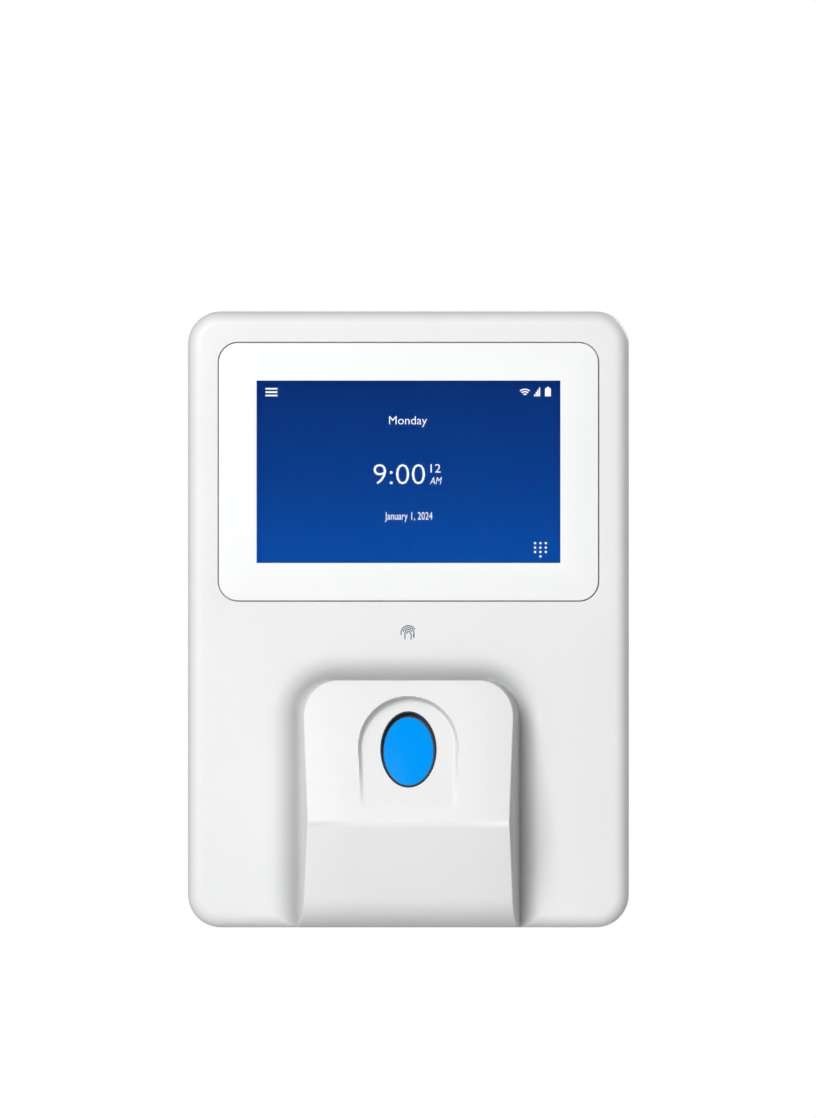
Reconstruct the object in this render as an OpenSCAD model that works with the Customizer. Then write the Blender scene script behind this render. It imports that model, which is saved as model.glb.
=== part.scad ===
// Wall-mounted fingerprint scanner terminal.
// +Z is up, the front faces -Y, and the wall is the plane y = 0.
// The origin is on the wall, level with the middle of the casing. Sizes are in millimetres.
// A depth is a distance out from the wall, so a depth d is the plane y = -d.

/* [Display] */
// Width of the lit picture
active_w = 93.6; // [78:0.1:112]
// Height of the lit picture
active_h = 56.2; // [47:0.1:67]
// Printed border of the glass, left and right of the picture
border_x = 11.65; // [9.8:0.05:14]
// Printed border of the glass, above and below the picture
border_y = 11.6; // [9.8:0.05:14]
// Thickness of the cover glass
glass_t = 1.1; // [0.8:0.1:1.4]
// Corner radius of the cover glass
glass_r = 6; // [4:0.5:8]
// Thickness of the tape that holds the cover glass
tape_t = 0.4; // [0.3:0.1:0.6]
// Thickness of the whole picture panel, frame to backlight
lcd_t = 3; // [2.5:0.1:3.6]

/* [Casing] */
// Casing beside the glass, left and right
cheek = 9.55; // [8:0.05:14]
// Casing above the glass
brow = 9.8; // [8:0.1:14]
// Casing below the glass, which carries the scanner housing
chin = 100.8; // [84:0.1:121]
// Depth of the rear case, from the wall to the joint line
rear_d = 18; // [17:0.5:22]
// Depth of the front cover, from the joint line to its face
front_d = 14; // [13:0.5:17]
// Side walls of both shells
wall = 2.6; // [2.2:0.1:3.1]
// Face of the front cover
face_t = 3; // [2.6:0.1:3.6]
// Back of the rear case
back_t = 2.4; // [2:0.1:2.9]
// Corner radius of the casing
corner_r = 10.2; // [9:0.1:12]
// Rounding of the front edge
front_edge_r = 4.4; // [3.4:0.1:5]
// Rounding of the back edge
back_edge_r = 2; // [1.5:0.1:2.4]

/* [Scanner housing] */
// Height of the housing above the casing's bottom edge
pod_h = 76.4; // [72:0.1:84]
// Height of its crease above the casing's bottom edge
crease_h = 32.5; // [27:0.1:36]
// Half its width where it meets the casing
pod_half_w = 34.5; // [33:0.1:41.4]
// Inward lean of its sides, in degrees
pod_draft = 9; // [6:0.5:10]
// Corner radius of its outline
pod_r = 11.6; // [9:0.1:13]
// How far its top edge stands out of the casing
pod_top_out = 8; // [7:0.1:10]
// How far its crease stands out of the casing
crease_out = 19; // [17:0.1:23]
// Backward slope of the face under the crease, in degrees
under_slope = 17; // [14:0.5:20]
// Rounding of its bottom edge
pod_bottom_r = 9.5; // [8:0.1:11]
// Wall of the housing
pod_wall = 2.2; // [1.8:0.1:2.6]
// Width of the shallow dish around it
dish_w = 7.5; // [7:0.1:11.4]
// Depth of the shallow dish around it
dish_d = 3.6; // [2.5:0.1:3.6]
// Thickness of the cover under the scanner housing
seat_t = 1.2; // [1:0.1:1.5]

/* [Fingerprint sensor] */
// Half the width of the finger recess
arch_r = 15.35; // [13:0.05:18]
// Top of the finger recess, below the top of the housing
arch_drop = 5; // [4:0.1:6]
// Length over which the finger recess fades out
recess_l = 33.6; // [30:0.1:38]
// Depth of the finger recess at its top
recess_d = 3.5; // [2.5:0.1:4]
// Sensor centre below the top of the housing
sensor_drop = 21.2; // [20:0.1:23]
// Half the width of the oval sensor ring
ring_a = 8.5; // [7.2:0.1:10]
// Half the length of the oval sensor ring
ring_b = 12.2; // [10.4:0.1:13.6]
// Wall of the oval sensor ring
ring_wall = 0.85; // [0.7:0.05:1.1]
// Wall of the ring above the window
ring_lip = 0.3; // [0.25:0.05:0.4]
// How far the window is sunk in its ring
window_sunk = 1.8; // [1.2:0.1:2]
// Thickness of the sensor window
window_t = 2; // [1.6:0.1:2.4]
// Height of the optical sensor block under the window
sensor_body_h = 12.6; // [11.5:0.1:13]

/* [Wall bracket and lock] */
// Thickness of the bracket plate
plate_t = 1.5; // [1.2:0.1:1.8]
// Bracket's edge to the side of the casing
plate_inset = 16; // [14:0.5:20]
// Width between the wall screw holes
hole_pitch_x = 60; // [50:1:66]
// Radius of a wall screw hole
wall_hole_r = 2.4; // [2:0.1:3]
// Upward travel that frees the terminal from its hooks
lift = 8; // [7:0.5:9]
// Width of a hook
hook_w = 8; // [6:0.5:10]
// Radius of the lock screw's shank
lock_r = 1.5; // [1.25:0.05:1.75]
// Travel of the lock screw when it is undone
lock_travel = 6; // [5:0.5:7]

/* [Fits] */
// Gap around the cover glass
glass_gap = 0.35; // [0.2:0.05:0.5]
// Gap between pieces that are laid in by hand
fit_gap = 0.15; // [0.1:0.05:0.25]
// Radial gap of a piece that slides or turns
run_gap = 0.06; // [0.04:0.01:0.08]
// Radial gap of a screw in its thread
thread_gap = 0.05; // [0.03:0.01:0.08]
// Travel of the reset button
button_travel = 0.5; // [0.3:0.1:0.6]
// Travel of the tamper plunger
plunger_travel = 1.5; // [1:0.1:1.8]

/* [Hidden] */
$fn = 64;
cut = 1;                  // how far a cutter runs past what it cuts
glass_w = active_w + 2 * border_x;
glass_h = active_h + 2 * border_y;
body_w = glass_w + 2 * cheek;
body_h = glass_h + brow + chin;
body_d = rear_d + front_d;
half_w = body_w / 2;
top_z = body_h / 2;
bottom_z = -body_h / 2;
glass_z = top_z - brow - glass_h / 2;
in_w = body_w - 2 * wall;
in_h = body_h - 2 * wall;
in_r = corner_r - wall;
back_gap = 0.5;           // rear case clear of the wall
pocket_d = 4;             // depth of the floor of the bracket's pocket
pocket_in = pocket_d + back_t;
skin_in = back_gap + back_t;

// picture panel, from the face inwards
ledge_d = body_d - glass_t - tape_t;
touch_t = 0.7;
touch_margin = 3.2;
window_margin = 4.2;
lcd_side = 5.9;           // panel frame beyond the picture, each side
lcd_w = active_w + 2 * lcd_side;
lcd_h = active_h + 2 * lcd_side - 0.8;
foam_t = 0.5;
lcd_front_d = body_d - face_t - foam_t;
lcd_back_d = lcd_front_d - lcd_t;
lcd_skin = 0.3;
cell_t = 1.3;
chassis_t = 0.8;
chassis_x = lcd_w / 2 + 5;
chassis_z = lcd_h / 2 - 10;
small_boss_r = 2.6;

// shell screws and bosses
boss_r = 4;
boss_x = half_w - 10;
boss_z = top_z - 10;
head_sunk = 8;
screw_r = 1.5;
screw_head_r = 2.75;
screw_head_h = 1.8;
insert_r = 2.3;
insert_l = 6;
small_r = 1.1;            // small self-tapping screws
small_head_r = 2;
small_head_h = 1.3;
lip_t = 1;
lip_h = 1.5;

// scanner housing
pod_bottom_gap = 0.4;
pod_top_z = bottom_z + pod_h;
pod_low_z = bottom_z + pod_bottom_gap;
crease_z = bottom_z + crease_h;
crease_d = body_d + crease_out;
seat_d = body_d - dish_d;
seat_back = seat_d - seat_t;
face_tan = (crease_out - pod_top_out) / (pod_top_z - crease_z);
face_cos = cos(atan(face_tan));
under_tan = tan(under_slope);
under_cos = cos(under_slope);
under_sin = sin(under_slope);
under_l = (crease_z - pod_low_z - pod_bottom_r + pod_bottom_r * under_sin) / under_cos;
roll_d = crease_d - under_l * under_sin - pod_bottom_r * under_cos;
roll_z = pod_low_z + pod_bottom_r;
pod_hole_half_w = 22;
pod_hole_top = pod_top_z - 7.6;
pod_hole_low = pod_low_z + 9;
pod_boss_x = 27.4;
pod_boss_top = pod_top_z - 18;
pod_boss_low = pod_low_z + 12;
pod_boss_r = 3;
pod_pilot = 6;

// finger recess and sensor
arch_top_z = pod_top_z - arch_drop;
arch_z = arch_top_z - arch_r;
recess_end_z = arch_top_z - recess_l;
floor_tan = face_tan + recess_d / recess_l;
tilt = atan(floor_tan);
sensor_z = pod_top_z - sensor_drop;
flange = 2;               // ring flange around the oval, under the housing wall
flange_t = 1.2;
bezel_deep = window_sunk + window_t;
block_top = -(window_sunk + window_t + 0.9);
block_w = 2 * ring_a + 4;
block_l = 2 * ring_b + 4.6;
block_low = block_top - sensor_body_h;
block_wall = 1.6;
ear_x = block_w / 2 + 4;
ear_r = 3;
ear_t = 1.8;
sensor_board_t = 1.2;
lens_r = 3.2;

// main board and what stands on it
board_d = rear_d;
board_t = 1.6;
board_front = board_d + board_t;
board_side_gap = 3.4;
board_w = in_w - 2 * board_side_gap;
board_low = bottom_z + 16;
board_top = glass_z - glass_h / 2 + 15.5;
board_h = board_top - board_low;
board_z = (board_top + board_low) / 2;
post_x = board_w / 2 - 5;
post_z = board_h / 2 - 5;
post_r = 3;
jack_w = 9;
net_w = 16;
net_l = 21;
net_t = 13.5;
block_pitch = 3.81;
ways = 8;
terminal_w = ways * block_pitch + 1.5;
socket_gap = 3;
bay_margin = 3;
bay_w = jack_w + net_w + terminal_w + 2 * socket_gap + 2 * bay_margin;
bay_h = 46;
bay_top = bottom_z + 88;
bay_z = bay_top - bay_h / 2;
socket_top = bay_top - 2;
jack_x = -bay_w / 2 + bay_margin + jack_w / 2;
net_x = jack_x + jack_w / 2 + socket_gap + net_w / 2;
terminal_x = net_x + net_w / 2 + socket_gap + terminal_w / 2;
terminal_t = 10.5;
terminal_l = 12;
relay_w = 13;
relay_h = 19;
relay_t = 10;
cell_r = 6.25;
cell_h = 2;
holder_h = 4;
holder_w = 15;
side_x = bay_w / 2 + 2;   // first free column beside the bay
cell_x = -(side_x + holder_w / 2);
cell_z = bay_z - 14;
relay_x = side_x + relay_w / 2;
relay_z = bay_z;

// wall bracket
plate_w = body_w - 2 * plate_inset;
plate_top = top_z - 36;
plate_low = bottom_z + 20;
plate_h = plate_top - plate_low;
plate_z = (plate_top + plate_low) / 2;
plate_r = 5;
plate_fit = 1;            // pocket beyond the plate
hole_pitch_z = plate_h - 18;
hook_x = plate_w / 2 - 8;
hook_t = plate_t;
hook_rise = lift - 1;
hook_leg_top = [plate_top - 13, plate_low + 13];
hook_in_gap = 0.3;
hook_d = pocket_in + hook_in_gap;
slot_side = 0.75;
tongue_w = 18;
lock_deep = 4.5;
lock_d = 8;               // lock screw's distance from the wall
tab_gap = 0.1;
tab_top = bottom_z + lock_deep - tab_gap;
tab_low = tab_top - plate_t;
tab_end = lock_d + 5;
washer_t = 0.5;
washer_r = 3.2;
lock_head_r = 2.75;
lock_head_h = 1.8;
lock_l = lock_travel + 5;
lock_block = 13;

// tamper switch, reset button, speaker, aerial, data port
tamper_x = relay_x;
tamper_w = 7;
tamper_z = board_top - 5 - post_r - 1 - tamper_w / 2;
tamper_t = 7;
plunger_r = 1.5;
plunger_in = 1.5;         // plunger inside the switch at rest
collar_r = 2.6;
collar_t = 0.8;
collar_gap = 0.1;
plunger_clear = 0.1;      // plunger tip clear of the bracket plate
spring_wire = 0.4;
spring_turns = 3;
collar_d = pocket_in + collar_gap;
spring_d = collar_d + collar_t;
tamper_face = board_d - tamper_t;
reset_x = -34;
reset_d = 13;
reset_r = 1.4;
reset_flange_r = 2.4;
reset_flange_t = 1;
reset_sunk = 0.8;
reset_switch_l = 7;
reset_switch_low = board_low - 4;
speaker_side = 6;         // speaker clear of the casing boss
speaker_gap = 0.6;        // speaker clear of the pocket's floor
speaker_w = 24;
speaker_x = boss_x - boss_r - speaker_side - speaker_w / 2;
speaker_t = 8.6;
speaker_d = pocket_in + speaker_gap + speaker_t / 2;
speaker_h = 6;
foam_pad_t = 1;
grille_n = 6;
aerial_l = 38;
aerial_w = 9;
aerial_t = 0.4;
usb_w = 13.1;
usb_t = 5.7;
usb_l = 14;
usb_z = bottom_z + 70;
usb_mid = board_front + usb_t / 2;
flap_t = 1.4;
flap_r = 1.1;
flap_pin_r = 0.6;
flap_z = usb_z + usb_w / 2 + 4.5;
flap_l = usb_w + 8;
flap_w = 6.4;
flap_x = -(half_w - flap_r);
flap_gap = 0.25;

// A flat outline in X and Z, made solid between two depths
module slab(d0, d1)
    translate([0, -d0, 0])
        rotate([90, 0, 0])
            linear_extrude(d1 - d0)
                children();

// A flat outline in Y and Z, made solid across X about the middle
module across(w)
    rotate([90, 0, 90])
        linear_extrude(w, center = true)
            children();

module rounded(w, h, r) {
    square([w - 2 * r, h], center = true);
    square([w, h - 2 * r], center = true);
    for (sx = [-1, 1], sz = [-1, 1])
        translate([sx * (w / 2 - r), sz * (h / 2 - r)])
            circle(r);
}

// Section of a rounded edge: r long, with its last e rounded
module edge_section(r, e) {
    square([r - e, e]);
    translate([r - e, 0])
        intersection() {
            circle(e);
            square(e);
        }
}

// A rounded plate whose edge at depth d1 is rounded by e
module soft_slab(w, h, r, e, d0, d1) {
    slab(d0, d1 - e)
        rounded(w, h, r);
    translate([-(w / 2 - r), -d1, -(h / 2 - r)])
        cube([w - 2 * r, e, h - 2 * r]);
    for (turn = [0:90:270]) {
        flat = turn % 180 == 0;
        reach = (flat ? w : h) / 2 - r;
        run = (flat ? h : w) - 2 * r;
        rotate([0, turn, 0])
            translate([reach, -(d1 - e), 0])
                mirror([0, 1, 0])
                    linear_extrude(run, center = true)
                        edge_section(r, e);
    }
    for (mx = [0, 1], mz = [0, 1])
        mirror([mx, 0, 0])
            mirror([0, 0, mz])
                translate([w / 2 - r, -(d1 - e), h / 2 - r])
                    rotate([90, 0, 0])
                        rotate_extrude(angle = 90)
                            edge_section(r, e);
}

// A screw that points along +Z, with its seat at z = 0 and a six-sided drive
module screw(r, l, head_r, head_h)
    difference() {
        union() {
            cylinder(r = r, h = l);
            translate([0, 0, -head_h])
                cylinder(r = head_r, h = head_h);
        }
        translate([0, 0, -head_h - cut])
            cylinder(r = head_r * 0.5, h = head_h * 0.6 + cut, $fn = 6);
    }

module towards_front(x, d, z)
    translate([x, -d, z])
        rotate([90, 0, 0])
            children();

module towards_wall(x, d, z)
    translate([x, -d, z])
        rotate([-90, 0, 0])
            children();

module four(x, z)
    for (sx = [-1, 1], sz = [-1, 1])
        translate([sx * x, 0, sz * z])
            children();

// Block on the board's rear face, t thick towards the wall
module behind_board(x, z, w, h, t)
    translate([x - w / 2, -board_d, z - h / 2])
        cube([w, t, h]);

// Block on the board's front face, t thick towards the face
module before_board(x, z, w, h, t)
    translate([x - w / 2, -board_front - t, z - h / 2])
        cube([w, t, h]);

function unit(v) = v / norm(v);
function heading(points, i) =
    unit(points[min(i + 1, len(points) - 1)] - points[max(i - 1, 0)]);
function ring_at(points, i, r, sides) =
    let (
        d = heading(points, i),
        u = unit(cross(d, [1, 0, 0])),
        v = cross(d, u))
    [for (k = [0:sides - 1]) points[i] + r * (u * cos(360 * k / sides) + v * sin(360 * k / sides))];

// Skin of a tube: n + 1 rings of points, one after another, with both ends closed
function tube_faces(n, sides) = concat(
    [[for (k = [0:sides - 1]) k]],
    [for (i = [0:n - 1], k = [0:sides - 1]) [
        i * sides + k,
        (i + 1) * sides + k,
        (i + 1) * sides + (k + 1) % sides,
        i * sides + (k + 1) % sides]],
    [[for (k = [sides - 1:-1:0]) n * sides + k]]);

// Round wire through a list of points that never runs straight along X
wire_sides = 10;
module wire(points, r)
    polyhedron(
        points = [for (i = [0:len(points) - 1]) each ring_at(points, i, r, wire_sides)],
        faces = tube_faces(len(points) - 1, wire_sides));

function side_of(p, q, t) = let (v = (q - p) / norm(q - p)) [-v[1], v[0]] * t / 2;
function bent(points, t, i) =
    let (n = len(points))
    i == 0 ? side_of(points[0], points[1], t)
    : i == n - 1 ? side_of(points[n - 2], points[n - 1], t)
    : (side_of(points[i - 1], points[i], t) + side_of(points[i], points[i + 1], t)) / 2;

// Thin folded strip, w wide across X, through points given in Y and Z
module strip(points, t, w) {
    n = len(points);
    across(w)
        polygon(concat(
            [for (i = [0:n - 1]) points[i] + bent(points, t, i)],
            [for (i = [n - 1:-1:0]) points[i] - bent(points, t, i)]));
}

// ---------------------------------------------------------------- scanner housing

function face_d(z) = crease_d - (z - crease_z) * face_tan;
function floor_d(z) = face_d(recess_end_z) - (z - recess_end_z) * floor_tan;
function crease_rise(g) = g * (1 / under_cos - 1 / face_cos) / (face_tan + under_tan);

// Outline of the housing in X and Z, g inside its outer surface
module pod_outline(g) {
    w = pod_half_w - g;
    r = pod_r - g;
    high = pod_top_z - g;
    low = pod_low_z + g;
    translate([-w, low])
        square([2 * w, high - r - low]);
    translate([-w + r, low])
        square([2 * (w - r), high - low]);
    for (s = [-1, 1])
        translate([s * (w - r), high - r])
            circle(r);
}

// Outline of the housing in Y and Z, g inside its outer surface, from depth back
module pod_profile(g, back) {
    rise = crease_rise(g);
    high = pod_top_z - g;
    low = pod_low_z + g;
    polygon([
        [-back, high],
        [-(face_d(high) - g / face_cos), high],
        [-(crease_d - rise * face_tan - g / face_cos), crease_z + rise],
        [-(roll_d + (pod_bottom_r - g) * under_cos), roll_z - (pod_bottom_r - g) * under_sin],
        [-roll_d, low],
        [-back, low]]);
    translate([-roll_d, roll_z])
        circle(pod_bottom_r - g);
}

// Outline of the housing in X and Y: its two sides lean in towards the front
module pod_plan(g, back) {
    front = crease_d + cut;
    side = g / cos(pod_draft);
    near = pod_half_w - side - (back - seat_d) * tan(pod_draft);
    far = pod_half_w - side - (front - seat_d) * tan(pod_draft);
    polygon([[-near, -back], [near, -back], [far, -front], [-far, -front]]);
}

module pod_form(g, back)
    intersection() {
        slab(back, crease_d + cut)
            pod_outline(g);
        across(2 * pod_half_w)
            pod_profile(g, back);
        translate([0, 0, pod_low_z - cut])
            linear_extrude(pod_h + 2 * cut)
                pod_plan(g, back);
    }

// Everything in front of the finger recess's floor, grown by g
module finger_recess(g) {
    low = recess_end_z - 2 * g - cut;
    high = arch_top_z + g + cut;
    intersection() {
        slab(body_d - 2 * cut, crease_d + 2 * cut)
            union() {
                translate([0, arch_z])
                    circle(arch_r + g);
                translate([-(arch_r + g), low])
                    square([2 * (arch_r + g), arch_z - low]);
            }
        across(2 * (arch_r + g + cut))
            polygon([
                [-(floor_d(high) - g / cos(tilt)), high],
                [-(floor_d(low) - g / cos(tilt)), low],
                [-(crease_d + 3 * cut), low],
                [-(crease_d + 3 * cut), high]]);
    }
}

// Frame on the recess floor: origin at the sensor's centre, +Z out of the floor, +Y up along it
module on_floor()
    translate([0, -floor_d(sensor_z), sensor_z])
        rotate([90 - tilt, 0, 0])
            children();

module oval(a, b, h)
    scale([1, b / a, 1])
        cylinder(r = a, h = h);

module pod_bosses(r, d0, l)
    for (sx = [-1, 1], z = [pod_boss_top, pod_boss_low])
        towards_front(sx * pod_boss_x, d0, z)
            cylinder(r = r, h = l);

module scanner_housing()
    color("white")
        difference() {
            union() {
                difference() {
                    pod_form(0, seat_d);
                    pod_form(pod_wall, seat_d - cut);
                }
                intersection() {
                    pod_form(0, seat_d);
                    union() {
                        finger_recess(pod_wall);
                        pod_bosses(pod_boss_r, seat_d, crease_out + dish_d);
                        on_floor()
                            for (s = [-1, 1])
                                translate([s * ear_x, 0, block_top - 2])
                                    cylinder(r = ear_r, h = -block_top + 1);
                    }
                }
            }
            finger_recess(0);
            on_floor() {
                translate([0, 0, -pod_wall - 2 * cut])
                    oval(ring_a + fit_gap, ring_b + fit_gap, pod_wall + 4 * cut);
                for (s = [-1, 1])
                    translate([s * ear_x, 0, block_top - 2 - cut])
                        cylinder(r = small_r + thread_gap, h = 4 + cut);
            }
            pod_bosses(small_r + thread_gap, seat_d - cut, pod_pilot + cut);
        }

// ---------------------------------------------------------------- fingerprint sensor

module sensor_ring()
    color("#10141c")
        on_floor()
            difference() {
                union() {
                    translate([0, 0, -bezel_deep])
                        oval(ring_a, ring_b, bezel_deep + 0.1);
                    translate([0, 0, -pod_wall - flange_t - fit_gap])
                        oval(ring_a + flange, ring_b + flange, flange_t);
                }
                translate([0, 0, -bezel_deep - cut])
                    oval(ring_a - ring_wall, ring_b - ring_wall, bezel_deep + 2 * cut);
                translate([0, 0, -window_sunk])
                    oval(ring_a - ring_lip, ring_b - ring_lip, window_sunk + cut);
            }

module sensor_window()
    color("#009bfd")
        on_floor()
            translate([0, 0, -window_sunk - window_t])
                oval(ring_a - ring_wall - run_gap, ring_b - ring_wall - run_gap, window_t);

// Glass block that turns the finger's image down to the camera
prism_w = 2 * ring_a - 3.4;
prism_l = 2 * ring_b - 5;
prism_h = 7;
module sensor_prism()
    color("#d8ecff")
        on_floor()
            translate([0, 0, -window_sunk - window_t])
                rotate([90, 0, 90])
                    linear_extrude(prism_w, center = true)
                        polygon([
                            [-prism_l / 2, 0],
                            [prism_l / 2, 0],
                            [prism_l / 2, -prism_h * 0.4],
                            [prism_l / 2 - 4, -prism_h],
                            [-prism_l / 2, -prism_h]]);

module sensor_body()
    color("#23262b")
        on_floor()
            difference() {
                union() {
                    translate([-block_w / 2, -block_l / 2, block_low])
                        cube([block_w, block_l, sensor_body_h]);
                    for (s = [-1, 1])
                        translate([s * ear_x, 0, block_top - 2 - ear_t])
                            cylinder(r = ear_r, h = ear_t);
                    translate([-ear_x, -ear_r, block_top - 2 - ear_t])
                        cube([2 * ear_x, 2 * ear_r, ear_t]);
                }
                translate([-block_w / 2 + block_wall, -block_l / 2 + block_wall, block_low - cut])
                    cube([block_w - 2 * block_wall, block_l - 2 * block_wall, sensor_body_h + 2 * cut]);
                for (s = [-1, 1])
                    translate([s * ear_x, 0, block_top - 2 - ear_t - cut])
                        cylinder(r = small_r + fit_gap, h = ear_t + 2 * cut);
            }

module sensor_board()
    color("#1f6b3a")
        on_floor()
            translate([-block_w / 2, -block_l / 2, block_low - sensor_board_t])
                cube([block_w, block_l, sensor_board_t]);

module sensor_camera()
    color("#3a3f46")
        on_floor()
            translate([0, 0, block_low]) {
                translate([-4.5, -4.5, 0])
                    cube([9, 9, 2]);
                difference() {
                    cylinder(r = lens_r, h = 5);
                    translate([0, 0, 3.5])
                        cylinder(r = lens_r - 1.2, h = 2.5);
                }
            }

module sensor_leds()
    color("#9fd4ff")
        on_floor()
            for (sx = [-1, 1], sy = [-1, 1])
                translate([sx * (block_w / 2 - 3.6) - 1, sy * (block_l / 2 - 4.4) - 0.8, block_low])
                    cube([2, 1.6, 1.2]);

module sensor_screws()
    color("silver")
        on_floor()
            for (s = [-1, 1])
                translate([s * ear_x, 0, block_top - 2 - ear_t])
                    screw(small_r, ear_t + 3.5, small_head_r, small_head_h);

// Where the sensor's board ends, in Y and Z
sensor_tail_y = -floor_d(sensor_z) + sin(tilt) * (-block_l / 2 + 2) - cos(tilt) * (block_low - sensor_board_t);
sensor_tail_z = sensor_z + cos(tilt) * (-block_l / 2 + 2) + sin(tilt) * (block_low - sensor_board_t);
ribbon_t = 0.3;
ribbon_z = sensor_tail_z - 16;
flex_z = board_top - 12;
socket_h = 2.2;
module sensor_ribbon()
    color("#e9e4d0")
        strip([
            [sensor_tail_y + ribbon_t / 2, sensor_tail_z - 0.1],
            [sensor_tail_y + 3, sensor_tail_z - 3],
            [sensor_tail_y + 3.4, sensor_tail_z - 9],
            [-board_front - socket_h - 1.6, ribbon_z - 2],
            [-board_front - socket_h - ribbon_t / 2, ribbon_z]], ribbon_t, 10);

// ---------------------------------------------------------------- picture panel

module cover_glass()
    color("white")
        slab(body_d - glass_t, body_d)
            translate([0, glass_z])
                rounded(glass_w, glass_h, glass_r);

module glass_tape()
    color("#222222")
        slab(ledge_d, ledge_d + tape_t)
            difference() {
                translate([0, glass_z])
                    rounded(glass_w - 1, glass_h - 1, glass_r - 0.5);
                translate([0, glass_z])
                    square([active_w + 2 * window_margin + 1, active_h + 2 * window_margin + 1], center = true);
            }

module touch_sensor()
    color("#a8b4c0")
        slab(body_d - glass_t - touch_t, body_d - glass_t)
            translate([0, glass_z])
                square([active_w + 2 * touch_margin, active_h + 2 * touch_margin], center = true);

module lcd_foam()
    color("#303030")
        slab(lcd_front_d, lcd_front_d + foam_t)
            difference() {
                translate([0, glass_z])
                    square([lcd_w, lcd_h], center = true);
                translate([0, glass_z])
                    square([active_w + 2 * window_margin + 0.6, active_h + 2 * window_margin + 0.6], center = true);
            }

module lcd_frame()
    color("silver")
        difference() {
            slab(lcd_back_d, lcd_front_d)
                translate([0, glass_z])
                    square([lcd_w, lcd_h], center = true);
            slab(lcd_back_d - cut, lcd_front_d - lcd_skin)
                translate([0, glass_z])
                    square([lcd_w - 2 * lcd_skin, lcd_h - 2 * lcd_skin], center = true);
            slab(lcd_front_d - cut, lcd_front_d + cut)
                translate([0, glass_z])
                    square([active_w + 1.4, active_h + 1.4], center = true);
        }

module lcd_panel()
    color("#083a8c")
        slab(lcd_front_d - lcd_skin - cell_t, lcd_front_d - lcd_skin)
            translate([0, glass_z])
                square([lcd_w - 2 * lcd_skin - 2 * fit_gap, lcd_h - 2 * lcd_skin - 2 * fit_gap], center = true);

module lcd_backlight()
    color("#e8eef5")
        slab(lcd_back_d, lcd_front_d - lcd_skin - cell_t)
            translate([0, glass_z])
                square([lcd_w - 2 * lcd_skin - 2 * fit_gap, lcd_h - 2 * lcd_skin - 2 * fit_gap], center = true);

module lcd_chassis()
    color("#b9bdc2")
        difference() {
            slab(lcd_back_d - chassis_t, lcd_back_d)
                translate([0, glass_z]) {
                    square([lcd_w - 6, lcd_h - 6], center = true);
                    for (s = [-1, 1])
                        translate([0, s * chassis_z])
                            square([2 * chassis_x + 2 * small_boss_r, 2 * small_boss_r], center = true);
                }
            translate([0, 0, glass_z])
                four(chassis_x, chassis_z)
                    towards_front(0, lcd_back_d - chassis_t - cut, 0)
                        cylinder(r = small_r + fit_gap, h = chassis_t + 2 * cut);
            slab(lcd_back_d - chassis_t - cut, lcd_back_d + cut)
                translate([0, glass_z])
                    rounded(lcd_w * 0.5, lcd_h * 0.4, 4);
        }

module chassis_screws()
    color("silver")
        translate([0, 0, glass_z])
            four(chassis_x, chassis_z)
                towards_front(0, lcd_back_d - chassis_t, 0)
                    screw(small_r, chassis_t + 2.6, small_head_r, small_head_h);

flex_y = -lcd_back_d + ribbon_t / 2;
flex_top = glass_z - lcd_h / 2 + 3;
module lcd_flex()
    color("#c98a2b")
        strip([
            [flex_y, flex_top - 0.6],
            [flex_y, flex_top - 4.5],
            [flex_y + 1, flex_top - 6.5],
            [-board_front - socket_h - 1.4, flex_z + 3.4],
            [-board_front - socket_h - ribbon_t / 2, flex_z + 1.5],
            [-board_front - socket_h - ribbon_t / 2, flex_z]], ribbon_t, 26);

// ---------------------------------------------------------------- shells

// Section of the rolled dish beside the housing: out along X, forward along Y
module dish_section() {
    roll_r = (dish_w * dish_w + dish_d * dish_d) / (2 * dish_d);
    difference() {
        translate([-fit_gap, -dish_d])
            square([dish_w + fit_gap, dish_d + cut]);
        translate([dish_w, -roll_r])
            circle(roll_r, $fn = 180);
    }
}

module dish() {
    side_l = pod_top_z - pod_r - bottom_z + cut;
    for (mx = [0, 1])
        mirror([mx, 0, 0]) {
            translate([pod_half_w, -body_d, bottom_z - cut])
                mirror([0, 1, 0])
                    linear_extrude(side_l)
                        dish_section();
            translate([pod_half_w - pod_r, -body_d, pod_top_z - pod_r])
                rotate([90, 0, 0])
                    rotate_extrude(angle = 90)
                        translate([pod_r, 0])
                            dish_section();
        }
    translate([0, -body_d, pod_top_z])
        rotate([0, -90, 0])
            mirror([0, 1, 0])
                linear_extrude(2 * (pod_half_w - pod_r), center = true)
                    dish_section();
    slab(seat_d, body_d + cut)
        intersection() {
            pod_outline(-fit_gap);
            square([body_w, body_h + 2 * cut], center = true);
        }
    translate([-pod_half_w - fit_gap, -body_d - cut, bottom_z - cut])
        cube([2 * (pod_half_w + fit_gap), dish_d + cut, cut + 2 * pod_bottom_gap]);
}

module flap_pocket() {
    translate([-half_w - cut, -usb_mid - flap_w / 2 - flap_gap, flap_z - flap_l - flap_gap])
        cube([flap_t + flap_gap + cut, flap_w + 2 * flap_gap, flap_l + flap_gap]);
    towards_front(flap_x, usb_mid - flap_w / 2 - flap_gap, flap_z)
        cylinder(r = flap_r + flap_gap, h = flap_w + 2 * flap_gap);
    translate([-half_w - cut, -usb_mid - flap_w / 2 - flap_gap, flap_z - cut])
        cube([flap_r + cut, flap_w + 2 * flap_gap, flap_r + flap_gap + cut]);
}

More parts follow.
